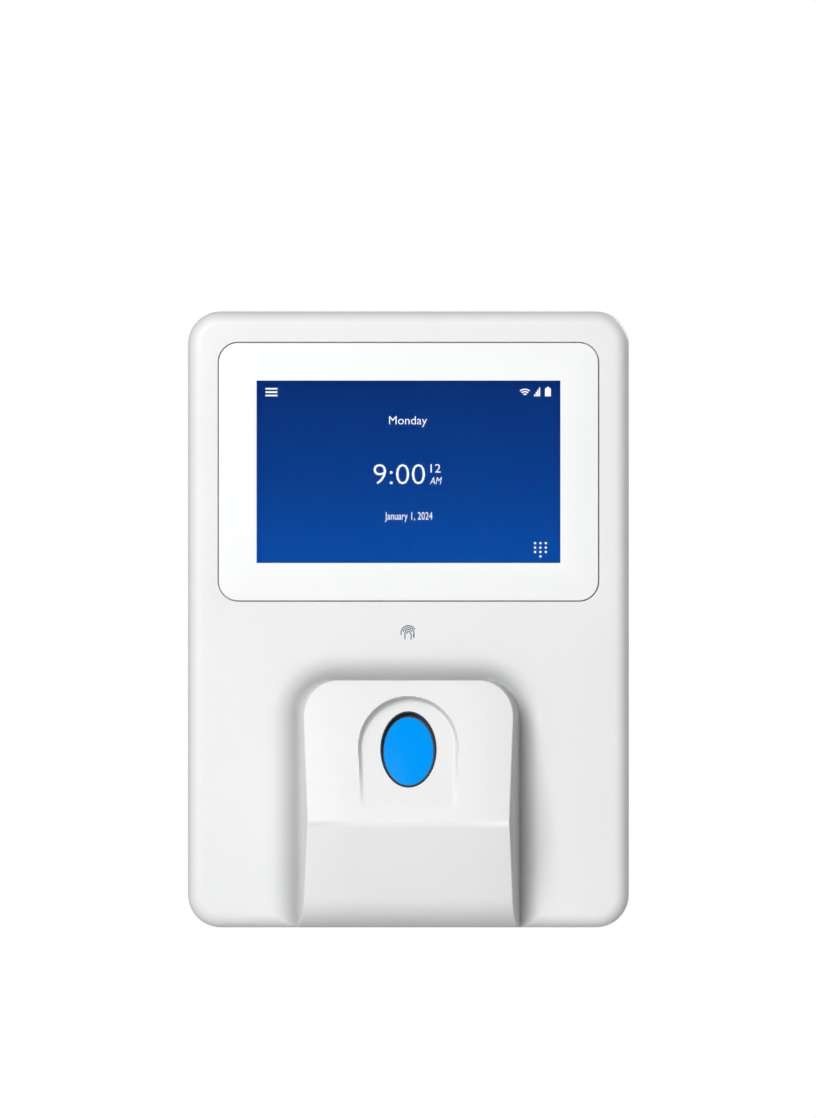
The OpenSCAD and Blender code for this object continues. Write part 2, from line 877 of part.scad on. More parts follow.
module front_cover()
    color("whitesmoke")
        difference() {
            union() {
                difference() {
                    soft_slab(body_w, body_h, corner_r, front_edge_r, rear_d, body_d);
                    soft_slab(in_w, in_h, in_r, front_edge_r - wall + 0.6, rear_d - cut, body_d - face_t);
                }
                slab(seat_back, body_d - face_t + cut)
                    intersection() {
                        pod_outline(2 - dish_w);
                        rounded(in_w + wall, in_h + wall, corner_r - wall / 2);
                    }
                four(boss_x, boss_z)
                    towards_front(0, rear_d, 0)
                        cylinder(r = boss_r, h = front_d - face_t / 2);
                translate([0, 0, glass_z])
                    four(chassis_x, chassis_z)
                        towards_front(0, lcd_back_d, 0)
                            cylinder(r = small_boss_r, h = body_d - face_t / 2 - glass_t - lcd_back_d);
            }
            slab(ledge_d, body_d + cut)
                translate([0, glass_z])
                    rounded(glass_w + 2 * glass_gap, glass_h + 2 * glass_gap, glass_r + glass_gap);
            slab(body_d - face_t - cut, body_d)
                translate([0, glass_z])
                    square([active_w + 2 * window_margin, active_h + 2 * window_margin], center = true);
            dish();
            slab(seat_back - cut, body_d)
                translate([-pod_hole_half_w, pod_hole_low])
                    square([2 * pod_hole_half_w, pod_hole_top - pod_hole_low]);
            pod_bosses(small_r + fit_gap, seat_back - cut, body_d - seat_back + cut);
            four(boss_x, boss_z)
                towards_front(0, rear_d - cut, 0)
                    cylinder(r = insert_r + 0.02, h = insert_l + 2 + cut);
            translate([0, 0, glass_z])
                four(chassis_x, chassis_z)
                    towards_front(0, lcd_back_d - cut, 0)
                        cylinder(r = small_r + thread_gap, h = 2.9 + cut);
            flap_pocket();
            towards_front(flap_x, usb_mid - flap_w / 2 - 1, flap_z)
                cylinder(r = flap_pin_r + 0.02, h = flap_w + 2);
            translate([-half_w, -usb_mid - usb_t / 2 - fit_gap, usb_z - usb_w / 2 - fit_gap])
                cube([2 * wall, usb_t + 2 * fit_gap, usb_w + 2 * fit_gap]);
        }

module pocket_area(grow)
    union() {
        translate([0, plate_z - lift / 2])
            rounded(plate_w + 2 * plate_fit + 2 * grow, plate_h + lift + 2 * grow + 2 * plate_fit, plate_r + plate_fit);
        translate([-tongue_w / 2 - plate_fit - grow, bottom_z])
            square([tongue_w + 2 * plate_fit + 2 * grow, plate_z - bottom_z]);
    }

module hook_slots()
    for (s = [-1, 1], z = hook_leg_top)
        translate([s * hook_x - hook_w / 2 - slot_side, -pocket_in - cut, z - 1 - hook_t - lift])
            cube([hook_w + 2 * slot_side, back_t + 2 * cut, lift + hook_t + 1 + run_gap]);

module rear_case()
    color("gainsboro")
        difference() {
            union() {
                difference() {
                    mirror([0, 1, 0])
                        soft_slab(body_w, body_h, corner_r, back_edge_r, -rear_d, -back_gap);
                    slab(skin_in, rear_d + cut)
                        rounded(in_w, in_h, in_r);
                }
                slab(rear_d - 2, rear_d + lip_h)
                    difference() {
                        rounded(in_w - 2 * fit_gap, in_h - 2 * fit_gap, in_r - fit_gap);
                        rounded(in_w - 2 * fit_gap - 2 * lip_t, in_h - 2 * fit_gap - 2 * lip_t, in_r - fit_gap - lip_t);
                    }
                slab(rear_d - 2, rear_d - 0.01)
                    difference() {
                        rounded(in_w + 1, in_h + 1, in_r + 0.5);
                        rounded(in_w - 2 * fit_gap - 2 * lip_t, in_h - 2 * fit_gap - 2 * lip_t, in_r - fit_gap - lip_t);
                    }
                slab(skin_in - cut, pocket_in)
                    intersection() {
                        pocket_area(back_t);
                        rounded(body_w - 1, body_h - 1, corner_r);
                    }
                four(boss_x, boss_z)
                    towards_front(0, skin_in - cut, 0)
                        cylinder(r = boss_r, h = rear_d - skin_in + cut);
                translate([0, 0, board_z])
                    four(post_x, post_z)
                        towards_front(0, skin_in - cut, 0)
                            cylinder(r = post_r, h = board_d - skin_in + cut);
                translate([-lock_block, -rear_d + 1.5, bottom_z + 1])
                    cube([2 * lock_block, rear_d - 1.5 - skin_in + cut, lock_l + 3.5]);
                towards_front(tamper_x, pocket_d, tamper_z)
                    cylinder(r = collar_r + 1, h = back_t);
            }
            slab(-cut, pocket_d)
                pocket_area(0);
            translate([-tongue_w / 2 - plate_fit, -pocket_d, bottom_z - cut])
                cube([tongue_w + 2 * plate_fit, pocket_d + cut, 2 * cut]);
            slab(-cut, pocket_in + cut)
                translate([0, bay_z])
                    rounded(bay_w, bay_h, 3);
            hook_slots();
            translate([-tongue_w / 2 - plate_fit, -tab_end - cut, bottom_z - cut])
                cube([tongue_w + 2 * plate_fit, tab_end + cut, lock_deep + cut]);
            translate([0, -lock_d, bottom_z])
                cylinder(r = lock_r + run_gap, h = lock_l + lock_deep + 3);
            four(boss_x, boss_z) {
                towards_front(0, -cut, 0)
                    cylinder(r = screw_head_r + 0.5, h = head_sunk + cut);
                towards_front(0, 0, 0)
                    cylinder(r = screw_r + fit_gap, h = rear_d + 2 * cut);
            }
            translate([0, 0, board_z])
                four(post_x, post_z)
                    towards_wall(0, board_d + cut, 0)
                        cylinder(r = small_r + thread_gap, h = 6 + cut);
            towards_front(tamper_x, 0, tamper_z)
                cylinder(r = plunger_r + run_gap, h = pocket_in + 2 * cut);
            translate([reset_x, -reset_d, bottom_z - cut])
                cylinder(r = reset_r + run_gap, h = wall + 2 * cut);
            for (i = [0:grille_n - 1])
                translate([speaker_x + (i - (grille_n - 1) / 2) * 3.2 - 0.8, -speaker_d - 4, bottom_z - cut])
                    cube([1.6, 8, wall + 2 * cut]);
            for (i = [-4:4])
                slab(-cut, skin_in + cut)
                    translate([i * 7 - 1.25, top_z - 30])
                        square([2.5, 16]);
        }

module case_screws()
    color("silver")
        four(boss_x, boss_z)
            towards_front(0, head_sunk, 0)
                screw(screw_r - thread_gap, rear_d - head_sunk + insert_l, screw_head_r, screw_head_h);

module case_inserts()
    color("goldenrod")
        four(boss_x, boss_z)
            towards_front(0, rear_d + 0.2, 0)
                difference() {
                    cylinder(r = insert_r, h = insert_l);
                    translate([0, 0, -cut])
                        cylinder(r = screw_r, h = insert_l + 2 * cut);
                }

module housing_screws()
    color("silver")
        for (sx = [-1, 1], z = [pod_boss_top, pod_boss_low])
            towards_front(sx * pod_boss_x, seat_back, z)
                screw(small_r, seat_t + pod_pilot - 0.8, small_head_r, small_head_h);

// ---------------------------------------------------------------- wall bracket and lock

module hook(z)
    translate([-hook_w / 2, 0, z - hook_t]) {
        translate([0, -hook_d - hook_t, 0])
            cube([hook_w, hook_d + hook_t - plate_t / 2, hook_t]);
        translate([0, -hook_d - hook_t, 0])
            cube([hook_w, hook_t, hook_t + hook_rise]);
    }

module wall_bracket()
    color("#c3c7cb")
        difference() {
            union() {
                slab(0, plate_t)
                    union() {
                        translate([0, plate_z])
                            rounded(plate_w, plate_h, plate_r);
                        translate([-tongue_w / 2, tab_low])
                            square([tongue_w, plate_z - tab_low]);
                    }
                translate([-tongue_w / 2, -tab_end, tab_low])
                    cube([tongue_w, tab_end, plate_t]);
                for (s = [-1, 1], z = hook_leg_top)
                    translate([s * hook_x, 0, 0])
                        hook(z);
            }
            slab(-cut, plate_t + cut)
                translate([0, bay_z])
                    rounded(bay_w + 4, bay_h + 4, 4);
            translate([0, 0, plate_z])
                four(hole_pitch_x / 2, hole_pitch_z / 2)
                    towards_front(0, -cut, 0)
                        cylinder(r = wall_hole_r, h = plate_t + 2 * cut);
            translate([0, -lock_d, tab_low - cut])
                cylinder(r = lock_r + run_gap, h = plate_t + 2 * cut);
        }

module lock_washer()
    color("#30343a")
        translate([0, -lock_d, tab_low - washer_t])
            difference() {
                cylinder(r = washer_r, h = washer_t);
                translate([0, 0, -cut])
                    cylinder(r = lock_r + run_gap, h = washer_t + 2 * cut);
            }

module lock_screw()
    color("silver")
        translate([0, -lock_d, tab_low - washer_t])
            screw(lock_r, lock_l, lock_head_r, lock_head_h);

// ---------------------------------------------------------------- main board

module main_board()
    color("#1d5e37")
        difference() {
            slab(board_d, board_front)
                translate([0, board_z])
                    square([board_w, board_h], center = true);
            translate([0, 0, board_z])
                four(post_x, post_z)
                    towards_front(0, board_d - cut, 0)
                        cylinder(r = small_r + fit_gap, h = board_t + 2 * cut);
        }

module board_screws()
    color("silver")
        translate([0, 0, board_z])
            four(post_x, post_z)
                towards_wall(0, board_front, 0)
                    screw(small_r, board_t + 4.5, small_head_r, small_head_h);

module board_chips()
    color("#26282b") {
        before_board(-30, board_z + 20, 12, 12, 1);
        before_board(34, board_z + 16, 9, 14, 1);
        before_board(-34, board_z - 6, 6, 5, 1.2);
        before_board(30, board_z - 12, 8, 6, 1.4);
        behind_board(cell_x, bay_z + 16, 8, 5, 1.4);
    }

module processor_can()
    color("#c9cdd1")
        before_board(0, board_z + 24, 26, 20, 2.4);

module board_capacitors()
    color("#3b4a66")
        for (i = [0:2])
            towards_front(40, board_front, board_low + 14 + i * 10)
                cylinder(r = 3.15, h = 5.4);

module ribbon_sockets()
    color("#efe9dc") {
        before_board(0, ribbon_z, 14, 3.4, socket_h);
        before_board(0, flex_z, 30, 3.4, socket_h);
    }

module network_socket()
    color("#b4b8bd")
        difference() {
            behind_board(net_x, socket_top - net_l / 2, net_w, net_l, net_t);
            translate([net_x - 5.9, -board_d + 3.4, socket_top - net_l - cut])
                cube([11.8, 7.6, 12 + cut]);
        }

module power_jack()
    color("#1c1d1f")
        union() {
            difference() {
                behind_board(jack_x, socket_top - 7, jack_w, 14, 11);
                translate([jack_x, -board_d + 6, socket_top - 14 - cut])
                    cylinder(r = 2.8, h = 10 + cut);
            }
            translate([jack_x, -board_d + 6, socket_top - 13])
                cylinder(r = 1, h = 10);
        }

module wiring_block()
    color("#2f8f4a")
        difference() {
            behind_board(terminal_x, socket_top - terminal_l / 2, terminal_w, terminal_l, terminal_t);
            for (i = [0:ways - 1])
                translate([terminal_x + (i - (ways - 1) / 2) * block_pitch, 0, socket_top]) {
                    translate([-1.25, -board_d + 3, -terminal_l - cut])
                        cube([2.5, 2.6, 7 + cut]);
                    translate([0, -board_d + terminal_t + cut, -terminal_l / 2])
                        rotate([90, 0, 0])
                            cylinder(r = 1.5, h = 3 + cut, $fn = 24);
                }
        }

module wiring_screws()
    color("silver")
        for (i = [0:ways - 1])
            translate([
                terminal_x + (i - (ways - 1) / 2) * block_pitch,
                -board_d + terminal_t - 3,
                socket_top - terminal_l / 2])
                rotate([-90, 0, 0])
                    difference() {
                        cylinder(r = 1.4, h = 2, $fn = 24);
                        translate([-2, -0.25, 1.3])
                            cube([4, 0.5, 2]);
                    }

module door_relay()
    color("#1b4f8a")
        behind_board(relay_x, relay_z, relay_w, relay_h, relay_t);

module cell_holder()
    color("#202225")
        difference() {
            behind_board(cell_x, cell_z, holder_w, 2 * cell_r + 3, holder_h);
            translate([cell_x, -board_d + 1.2, cell_z])
                rotate([-90, 0, 0])
                    cylinder(r = cell_r + fit_gap, h = holder_h);
        }

module clock_cell()
    color("silver")
        translate([cell_x, -board_d + 1.2, cell_z])
            rotate([-90, 0, 0])
                cylinder(r = cell_r, h = cell_h);

// ---------------------------------------------------------------- data port and its flap

module usb_socket()
    color("#c3c7cb")
        difference() {
            translate([-half_w + wall + 0.2, -board_front - usb_t, usb_z - usb_w / 2])
                cube([usb_l, usb_t, usb_w]);
            translate([-half_w + wall + 0.2 - cut, -board_front - usb_t + 0.4, usb_z - usb_w / 2 + 0.4])
                difference() {
                    cube([usb_l - 2 + cut, usb_t - 0.8, usb_w - 0.8]);
                    translate([cut + 1.5, 1, 0.9])
                        cube([usb_l, 1.8, usb_w - 2.6]);
                }
        }

module usb_flap()
    color("#d8dadc")
        difference() {
            union() {
                translate([-half_w, -usb_mid - flap_w / 2, flap_z - flap_l])
                    cube([flap_t, flap_w, flap_l]);
                towards_front(flap_x, usb_mid - flap_w / 2, flap_z)
                    cylinder(r = flap_r, h = flap_w);
            }
            towards_front(flap_x, usb_mid - flap_w / 2 - cut, flap_z)
                cylinder(r = flap_pin_r + run_gap, h = flap_w + 2 * cut);
            translate([-half_w - cut, -usb_mid - 2, flap_z - flap_l - cut])
                cube([0.5 + cut, 4, 1.5 + cut]);
        }

module usb_flap_pin()
    color("silver")
        towards_front(flap_x, usb_mid - flap_w / 2 - 0.9, flap_z)
            cylinder(r = flap_pin_r, h = flap_w + 1.8);

// ---------------------------------------------------------------- speaker and aerial

module speaker()
    color("#2a2c30")
        translate([speaker_x - speaker_w / 2, -speaker_d - speaker_t / 2, bottom_z + wall + foam_pad_t])
            cube([speaker_w, speaker_t, speaker_h]);

module speaker_foam()
    color("#55585c")
        translate([speaker_x, -speaker_d, bottom_z + wall])
            linear_extrude(foam_pad_t)
                difference() {
                    square([speaker_w, speaker_t], center = true);
                    square([speaker_w - 4, speaker_t - 3], center = true);
                }

module speaker_leads()
    color("#b03030")
        for (s = [0, 1])
            wire([
                [speaker_x - 2 + 3 * s, -speaker_d - 1, bottom_z + wall + foam_pad_t + speaker_h + 0.3],
                [speaker_x - 2 + 3 * s, -speaker_d - 3, board_low - 3],
                [speaker_x - 3 + 3 * s, -board_d + 1.6, board_low + 1],
                [speaker_x - 3 + 3 * s, -board_d + 0.56, board_low + 4]], 0.5);

aerial_z = glass_z;
module wifi_aerial()
    color("#3a2b14")
        translate([-half_w + wall, -skin_in - 1.5 - aerial_w, aerial_z - aerial_l / 2])
            cube([aerial_t, aerial_w, aerial_l]);

module aerial_lead()
    color("#3c3c3c") {
        x = -half_w + wall + aerial_t;
        wire([
            [x + 0.65, -skin_in - 6, aerial_z - aerial_l / 2 + 5],
            [x + 1.5, -skin_in - 7, aerial_z - aerial_l / 2 + 1],
            [x + 8, -skin_in - 10, board_top + 4],
            [x + 15, -board_d + 3, board_top - 3],
            [x + 16, -board_d + 0.66, board_top - 10]], 0.6);
    }

// ---------------------------------------------------------------- tamper switch and reset button

module tamper_switch()
    color("#1d1f22")
        difference() {
            behind_board(tamper_x, tamper_z, 10, tamper_w, tamper_t);
            towards_front(tamper_x, tamper_face - cut, tamper_z)
                cylinder(r = plunger_r + run_gap, h = plunger_in + plunger_travel + 1.5 + cut);
        }

module tamper_plunger()
    color("#e8e4da")
        union() {
            towards_front(tamper_x, plate_t + plunger_clear, tamper_z)
                cylinder(r = plunger_r, h = tamper_face + plunger_in - plate_t - plunger_clear);
            towards_front(tamper_x, collar_d, tamper_z)
                cylinder(r = collar_r, h = collar_t);
        }

coil_r = plunger_r + run_gap + spring_wire / 2 + 0.1;
coil_steps = 16;
coil_sides = 8;
coil_l = tamper_face - spring_d - spring_wire - 0.1;
function coil_point(i, k) =
    let (
        n = spring_turns * coil_steps,
        a = 360 * i / coil_steps,
        b = 360 * k / coil_sides,
        r = coil_r + spring_wire / 2 * cos(b))
    [r * cos(a), r * sin(a), coil_l * i / n + spring_wire / 2 * sin(b)];
module tamper_spring()
    color("silver")
        towards_front(tamper_x, spring_d + spring_wire / 2 + 0.05, tamper_z) {
            n = spring_turns * coil_steps;
            polyhedron(
                points = [for (i = [0:n], k = [0:coil_sides - 1]) coil_point(i, k)],
                faces = tube_faces(n, coil_sides));
        }

module reset_switch()
    color("#1d1f22")
        translate([reset_x - 3, -board_d, reset_switch_low])
            cube([6, reset_switch_l, 7]);

module reset_button()
    color("#4a4d52")
        translate([reset_x, -reset_d, bottom_z]) {
            translate([0, 0, reset_sunk])
                cylinder(r = reset_r, h = reset_switch_low - bottom_z - reset_sunk - button_travel - 0.4);
            translate([0, 0, wall + 0.1])
                cylinder(r = reset_flange_r, h = reset_flange_t);
        }

wall_bracket();
lock_screw();
lock_washer();
front_cover();
rear_case();
scanner_housing();
cover_glass();
glass_tape();
touch_sensor();
lcd_foam();
lcd_frame();
lcd_panel();
lcd_backlight();
lcd_chassis();
chassis_screws();
lcd_flex();
sensor_ring();
sensor_window();
sensor_prism();
sensor_body();
sensor_board();
sensor_camera();
sensor_leds();
sensor_screws();
sensor_ribbon();
main_board();
board_screws();
board_chips();
processor_can();
board_capacitors();
ribbon_sockets();
network_socket();
power_jack();
wiring_block();
wiring_screws();
door_relay();
clock_cell();
cell_holder();
usb_socket();
usb_flap();
usb_flap_pin();
speaker();
speaker_foam();
speaker_leads();
wifi_aerial();
aerial_lead();
tamper_switch();
tamper_plunger();
tamper_spring();
reset_switch();
reset_button();
case_screws();
case_inserts();
housing_screws();
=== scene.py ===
# %% [markdown]
# # A wall terminal with a fingerprint scanner
# The terminal hangs on a steel bracket. Its white casing holds a glass-fronted picture panel, and below it
# a sloped housing carries a finger recess over a lit oval window.
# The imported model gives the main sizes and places, and the other sizes repeat the drawing's, so each piece
# made here goes where its CAD node is.

import math

import bmesh
import bpy
from mathutils import Matrix, Vector


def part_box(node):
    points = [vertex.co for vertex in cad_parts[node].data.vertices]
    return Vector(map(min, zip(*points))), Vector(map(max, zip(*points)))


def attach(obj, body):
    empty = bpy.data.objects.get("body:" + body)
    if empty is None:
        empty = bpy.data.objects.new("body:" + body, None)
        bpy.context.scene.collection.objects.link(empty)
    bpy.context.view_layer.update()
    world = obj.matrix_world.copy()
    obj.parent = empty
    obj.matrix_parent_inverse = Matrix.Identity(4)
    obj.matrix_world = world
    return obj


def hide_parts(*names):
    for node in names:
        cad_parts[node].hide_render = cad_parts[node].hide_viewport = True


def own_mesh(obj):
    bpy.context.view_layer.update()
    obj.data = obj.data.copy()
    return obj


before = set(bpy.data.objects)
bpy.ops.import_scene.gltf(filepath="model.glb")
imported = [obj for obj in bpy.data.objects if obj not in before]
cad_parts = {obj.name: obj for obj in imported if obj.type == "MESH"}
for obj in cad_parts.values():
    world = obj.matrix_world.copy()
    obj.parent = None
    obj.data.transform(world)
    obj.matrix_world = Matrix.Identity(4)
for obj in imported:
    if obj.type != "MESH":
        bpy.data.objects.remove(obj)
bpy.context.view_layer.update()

# %% [markdown]
# Pieces are modelled in millimetres, because every size on the drawing is in millimetres, and are scaled to
# metres at the very end. The helper below does this, smooths the faces, and hangs the piece on its body.

# %% From a finished bmesh to a piece of the terminal
MM = 0.001
SMOOTH_UNDER = math.radians(32)


def bake(bm, name, place=Matrix.Identity(4)):
    """A mesh in metres from a bmesh in millimetres, put in its place."""
    bm.transform(Matrix.Scale(MM, 4) @ place)
    if place.determinant() < 0:
        bmesh.ops.reverse_faces(bm, faces=bm.faces)
    mesh = bpy.data.meshes.new(name)
    bm.to_mesh(mesh)
    bm.free()
    mesh.shade_smooth()
    mesh.set_sharp_from_angle(angle=SMOOTH_UNDER)
    return mesh


def add_piece(bm, name, body, material, place=Matrix.Identity(4), replaces=()):
    """Bakes the bmesh, lets it ride on a body of the frame and hides the CAD nodes it replaces."""
    mesh = bake(bm, name, place)
    mesh.materials.append(material)
    piece = bpy.data.objects.new(name, mesh)
    bpy.context.scene.collection.objects.link(piece)
    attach(piece, body)
    if replaces:
        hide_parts(*replaces)
    print(f"{name}: {len(mesh.polygons)} faces, rides on {body}")
    return piece


def cut_away(piece, cutters):
    """Takes each cutter, a bmesh in millimetres, out of the piece for good."""
    for i, cutter in enumerate(cutters):
        mesh = bake(cutter, f"{piece.name}_cutter")
        tool = bpy.data.objects.new(mesh.name, mesh)
        bpy.context.scene.collection.objects.link(tool)
        cut = piece.modifiers.new("cut", "BOOLEAN")
        cut.operation, cut.solver, cut.object = "DIFFERENCE", "EXACT", tool
        bpy.context.view_layer.update()
        solved = piece.evaluated_get(bpy.context.evaluated_depsgraph_get())
        cut_mesh = bpy.data.meshes.new_from_object(solved)
        piece.modifiers.clear()
        piece.data = cut_mesh
        bpy.data.objects.remove(tool)
    piece.data.shade_smooth()
    piece.data.set_sharp_from_angle(angle=SMOOTH_UNDER)
    print(f"{piece.name}: {len(piece.data.polygons)} faces after {len(cutters)} cuts")


def box_between(low, high):
    """A plain block from its lowest to its highest corner."""
    bm = bmesh.new()
    bmesh.ops.create_cube(bm, size=1)
    low, high = Vector(low), Vector(high)
    bmesh.ops.scale(bm, vec=high - low, verts=bm.verts)
    bmesh.ops.translate(bm, vec=(low + high) / 2, verts=bm.verts)
    return bm


def roll_over(bm, edges, radius, segments):
    """Rounds the edges given."""
    bmesh.ops.bevel(
        bm, geom=edges, offset=radius, segments=segments, affect="EDGES", profile=0.5, material=-1
    )


def round_edges(bm, radius, segments, test):
    """Rounds the edges whose two ends pass the test."""
    roll_over(bm, [e for e in bm.edges if test(e.verts[0].co, e.verts[1].co)], radius, segments)


def along_y(a, b):
    return abs(a.y - b.y) > 0.5 and abs(a.x - b.x) < 1e-3 and abs(a.z - b.z) < 1e-3


def plate(width, height, radius, back, front, centre=(0, 0)):
    """A slab with rounded corners that faces the room, from depth back to depth front."""
    x, z = centre
    bm = box_between((x - width / 2, -front, z - height / 2), (x + width / 2, -back, z + height / 2))
    if radius:
        round_edges(bm, radius, 10, along_y)
    return bm


# %% [markdown]
# ## Finishes
# Moulded plastic is never one flat colour: the mould's spark-eroded skin leaves a fine grain, and the resin
# varies a little in shade and gloss. One helper builds such a finish from noise on Object coordinates, and
# each material then only states its own numbers.
#
# White beside white bounces so much light that light alone leaves narrow hollows too pale. So the two white
# finishes also carry a painted shade: their colour greys where a point is closed in by the surfaces round it.


# %% Colour and the moulded finish
def srgb(*rgb):
    """A colour as a paint chart gives it, made linear."""
    c = [v / 255 for v in rgb]
    return tuple(v / 12.92 if v <= 0.04045 else ((v + 0.055) / 1.055) ** 2.4 for v in c) + (1,)


def wire(mat, out_node, out_name, in_node, in_name):
    mat.node_tree.links.new(out_node.outputs[out_name], in_node.inputs[in_name])


def noise(mat, scale, detail=3.0):
    """Noise on Object coordinates, with its scale in features per metre."""
    nodes = mat.node_tree.nodes
    coords = nodes.new("ShaderNodeTexCoord")
    tex = nodes.new("ShaderNodeTexNoise")
    tex.inputs["Scale"].default_value = scale
    tex.inputs["Detail"].default_value = detail
    tex.inputs["Roughness"].default_value = 0.55
    wire(mat, coords, "Object", tex, "Vector")
    return tex


def spread(mat, tex, low, high):
    """Turns a noise's middle range into low to high."""
    step = mat.node_tree.nodes.new("ShaderNodeMapRange")
    step.inputs["From Min"].default_value, step.inputs["From Max"].default_value = 0.3, 0.7
    step.inputs["To Min"].default_value, step.inputs["To Max"].default_value = low, high
    wire(mat, tex, "Fac", step, "Value")
    return step


def tint(mat, tex, shader, dark, light):
    """Lets the base colour drift between two shades with a noise."""
    ramp = mat.node_tree.nodes.new("ShaderNodeValToRGB")
    ramp.color_ramp.elements[0].position, ramp.color_ramp.elements[0].color = 0.3, dark
    ramp.color_ramp.elements[1].position, ramp.color_ramp.elements[1].color = 0.7, light
    wire(mat, tex, "Fac", ramp, "Fac")
    wire(mat, ramp, "Color", shader, "Base Color")


def relief(mat, tex, shader, height):
    """Raises the surface by a noise, height in metres."""
    bump = mat.node_tree.nodes.new("ShaderNodeBump")
    bump.inputs["Strength"].default_value = 1.0
    bump.inputs["Distance"].default_value = height
    wire(mat, tex, "Fac", bump, "Height")
    wire(mat, bump, "Normal", shader, "Normal")


def moulded(name, dark, light, gloss=(0.42, 0.52), grain=2200, height=0.000012, mottle=24, coat=0.0):
    """Moulded plastic: a drifting shade, an uneven gloss and the mould's fine grain."""
    mat = bpy.data.materials.new(name)
    mat.use_nodes = True
    shader = mat.node_tree.nodes["Principled BSDF"]
    slow, fine = noise(mat, mottle), noise(mat, grain, 2.0)
    tint(mat, slow, shader, dark, light)
    wire(mat, spread(mat, noise(mat, mottle * 6), *gloss), "Result", shader, "Roughness")
    relief(mat, fine, shader, height)
    shader.inputs["Coat Weight"].default_value = coat
    shader.inputs["Coat Roughness"].default_value = 0.03
    return mat


def shade_hollows(mat, reach, deepest):
    """Adds a contact shade to the colour: the more enclosed a point within reach, the greyer it is."""
    nodes = mat.node_tree.nodes
    shader, ramp = nodes["Principled BSDF"], next(n for n in nodes if n.type == "VALTORGB")
    hollow, depth = nodes.new("ShaderNodeAmbientOcclusion"), nodes.new("ShaderNodeMapRange")
    hollow.inputs["Distance"].default_value = reach
    depth.inputs["From Min"].default_value, depth.inputs["From Max"].default_value = 0.4, 0.95
    depth.inputs["To Min"].default_value, depth.inputs["To Max"].default_value = deepest, 1.0
    wire(mat, hollow, "AO", depth, "Value")
    # A Mix node has its two colour inputs at 6 and 7 and its colour result at 2.
    darker = nodes.new("ShaderNodeMix")
    darker.data_type, darker.blend_type = "RGBA", "MULTIPLY"
    darker.inputs["Factor"].default_value = 1.0
    mat.node_tree.links.new(ramp.outputs["Color"], darker.inputs[6])
    mat.node_tree.links.new(depth.outputs["Result"], darker.inputs[7])
    mat.node_tree.links.new(darker.outputs[2], shader.inputs["Base Color"])


white_shell = moulded("white_shell", srgb(212, 213, 213), srgb(216, 216, 216))
white_housing = moulded(
    "white_housing", srgb(213, 214, 214), srgb(217, 217, 217), gloss=(0.5, 0.58), grain=2800
)
# Painted shade: both white colours grey in the dish round the housing, in the recess and in other hollows.
for white in (white_shell, white_housing):
    shade_hollows(white, reach=0.016, deepest=0.77)
print("white finishes ready:", white_shell.name, white_housing.name)

# %% [markdown]
# ## Camera, light and floor
# A long lens three metres away shows the terminal almost without perspective, as a catalogue picture does.
# One large soft light stands at the upper left, and a weaker one lights the wall side. The room is bright in
# front and behind and dim at the sides, as between two studio screens, so hollows read as hollows. The camera
# itself sees plain white behind the terminal, and a pale floor lies well below.

# %% Camera
body_low, body_high = (v * 1000 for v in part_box("front_cover"))
FACE = -body_low.y
distance, view_height = 3.0, 344.4 * MM
camera_data = bpy.data.cameras.new("camera")
camera_data.sensor_width = 36
camera_data.lens = 36 * distance / view_height
camera_data.clip_end = 50
camera = bpy.data.objects.new("camera", camera_data)
camera.location = (-0.00015, -distance - FACE * MM, 0.01863)
camera.rotation_euler = (math.radians(90), 0, 0)
bpy.context.scene.collection.objects.link(camera)
bpy.context.scene.camera = camera
bpy.context.scene.view_settings.view_transform = "Standard"
print("lens", round(camera_data.lens, 1), "mm")

# %% Light, room and floor
world = bpy.data.worlds.new("studio")
bpy.context.scene.world = world
world.use_nodes = True
tree = world.node_tree
room = tree.nodes["Background"]
room.inputs["Color"].default_value = (1, 1, 1, 1)
way = tree.nodes.new("ShaderNodeTexCoord")
axes = tree.nodes.new("ShaderNodeSeparateXYZ")
squared = tree.nodes.new("ShaderNodeMath")
squared.operation = "MULTIPLY"
strength = tree.nodes.new("ShaderNodeMapRange")
strength.inputs["To Min"].default_value, strength.inputs["To Max"].default_value = 0.02, 0.62
tree.links.new(way.outputs["Generated"], axes.inputs[0])
for slot in (0, 1):
    tree.links.new(axes.outputs["Y"], squared.inputs[slot])
tree.links.new(squared.outputs[0], strength.inputs["Value"])
tree.links.new(strength.outputs["Result"], room.inputs["Strength"])
backdrop = tree.nodes.new("ShaderNodeBackground")
backdrop.inputs["Color"].default_value = (1, 1, 1, 1)
seen = tree.nodes.new("ShaderNodeLightPath")
either = tree.nodes.new("ShaderNodeMixShader")
tree.links.new(seen.outputs["Is Camera Ray"], either.inputs[0])
tree.links.new(room.outputs[0], either.inputs[1])
tree.links.new(backdrop.outputs[0], either.inputs[2])
tree.links.new(either.outputs[0], tree.nodes["World Output"].inputs["Surface"])


def soft_light(name, place, size, power):
    """A square soft light that looks at the terminal."""
    data = bpy.data.lights.new(name, "AREA")
    data.shape, data.size, data.energy = "SQUARE", size, power
    light = bpy.data.objects.new(name, data)
    light.location = place
    light.rotation_euler = (-light.location).to_track_quat("-Z", "Y").to_euler()
    bpy.context.scene.collection.objects.link(light)
    print(name, power, "W")


soft_light("key", (-0.8, -1.95, 0.78), 1.3, 50)
soft_light("back_light", (1.5, 1.6, 1.0), 1.2, 36)

pale_floor = moulded("pale_floor", srgb(214, 214, 212), srgb(222, 222, 220), gloss=(0.6, 0.7), grain=400)
floor_bm = bmesh.new()
bmesh.ops.create_grid(floor_bm, x_segments=2, y_segments=2, size=750)
bmesh.ops.translate(floor_bm, vec=(0, 0, -300), verts=floor_bm.verts)
floor_mesh = bake(floor_bm, "floor")
floor_mesh.materials.append(pale_floor)
floor = bpy.data.objects.new("floor", floor_mesh)
bpy.context.scene.collection.objects.link(floor)
print("floor", floor.name)

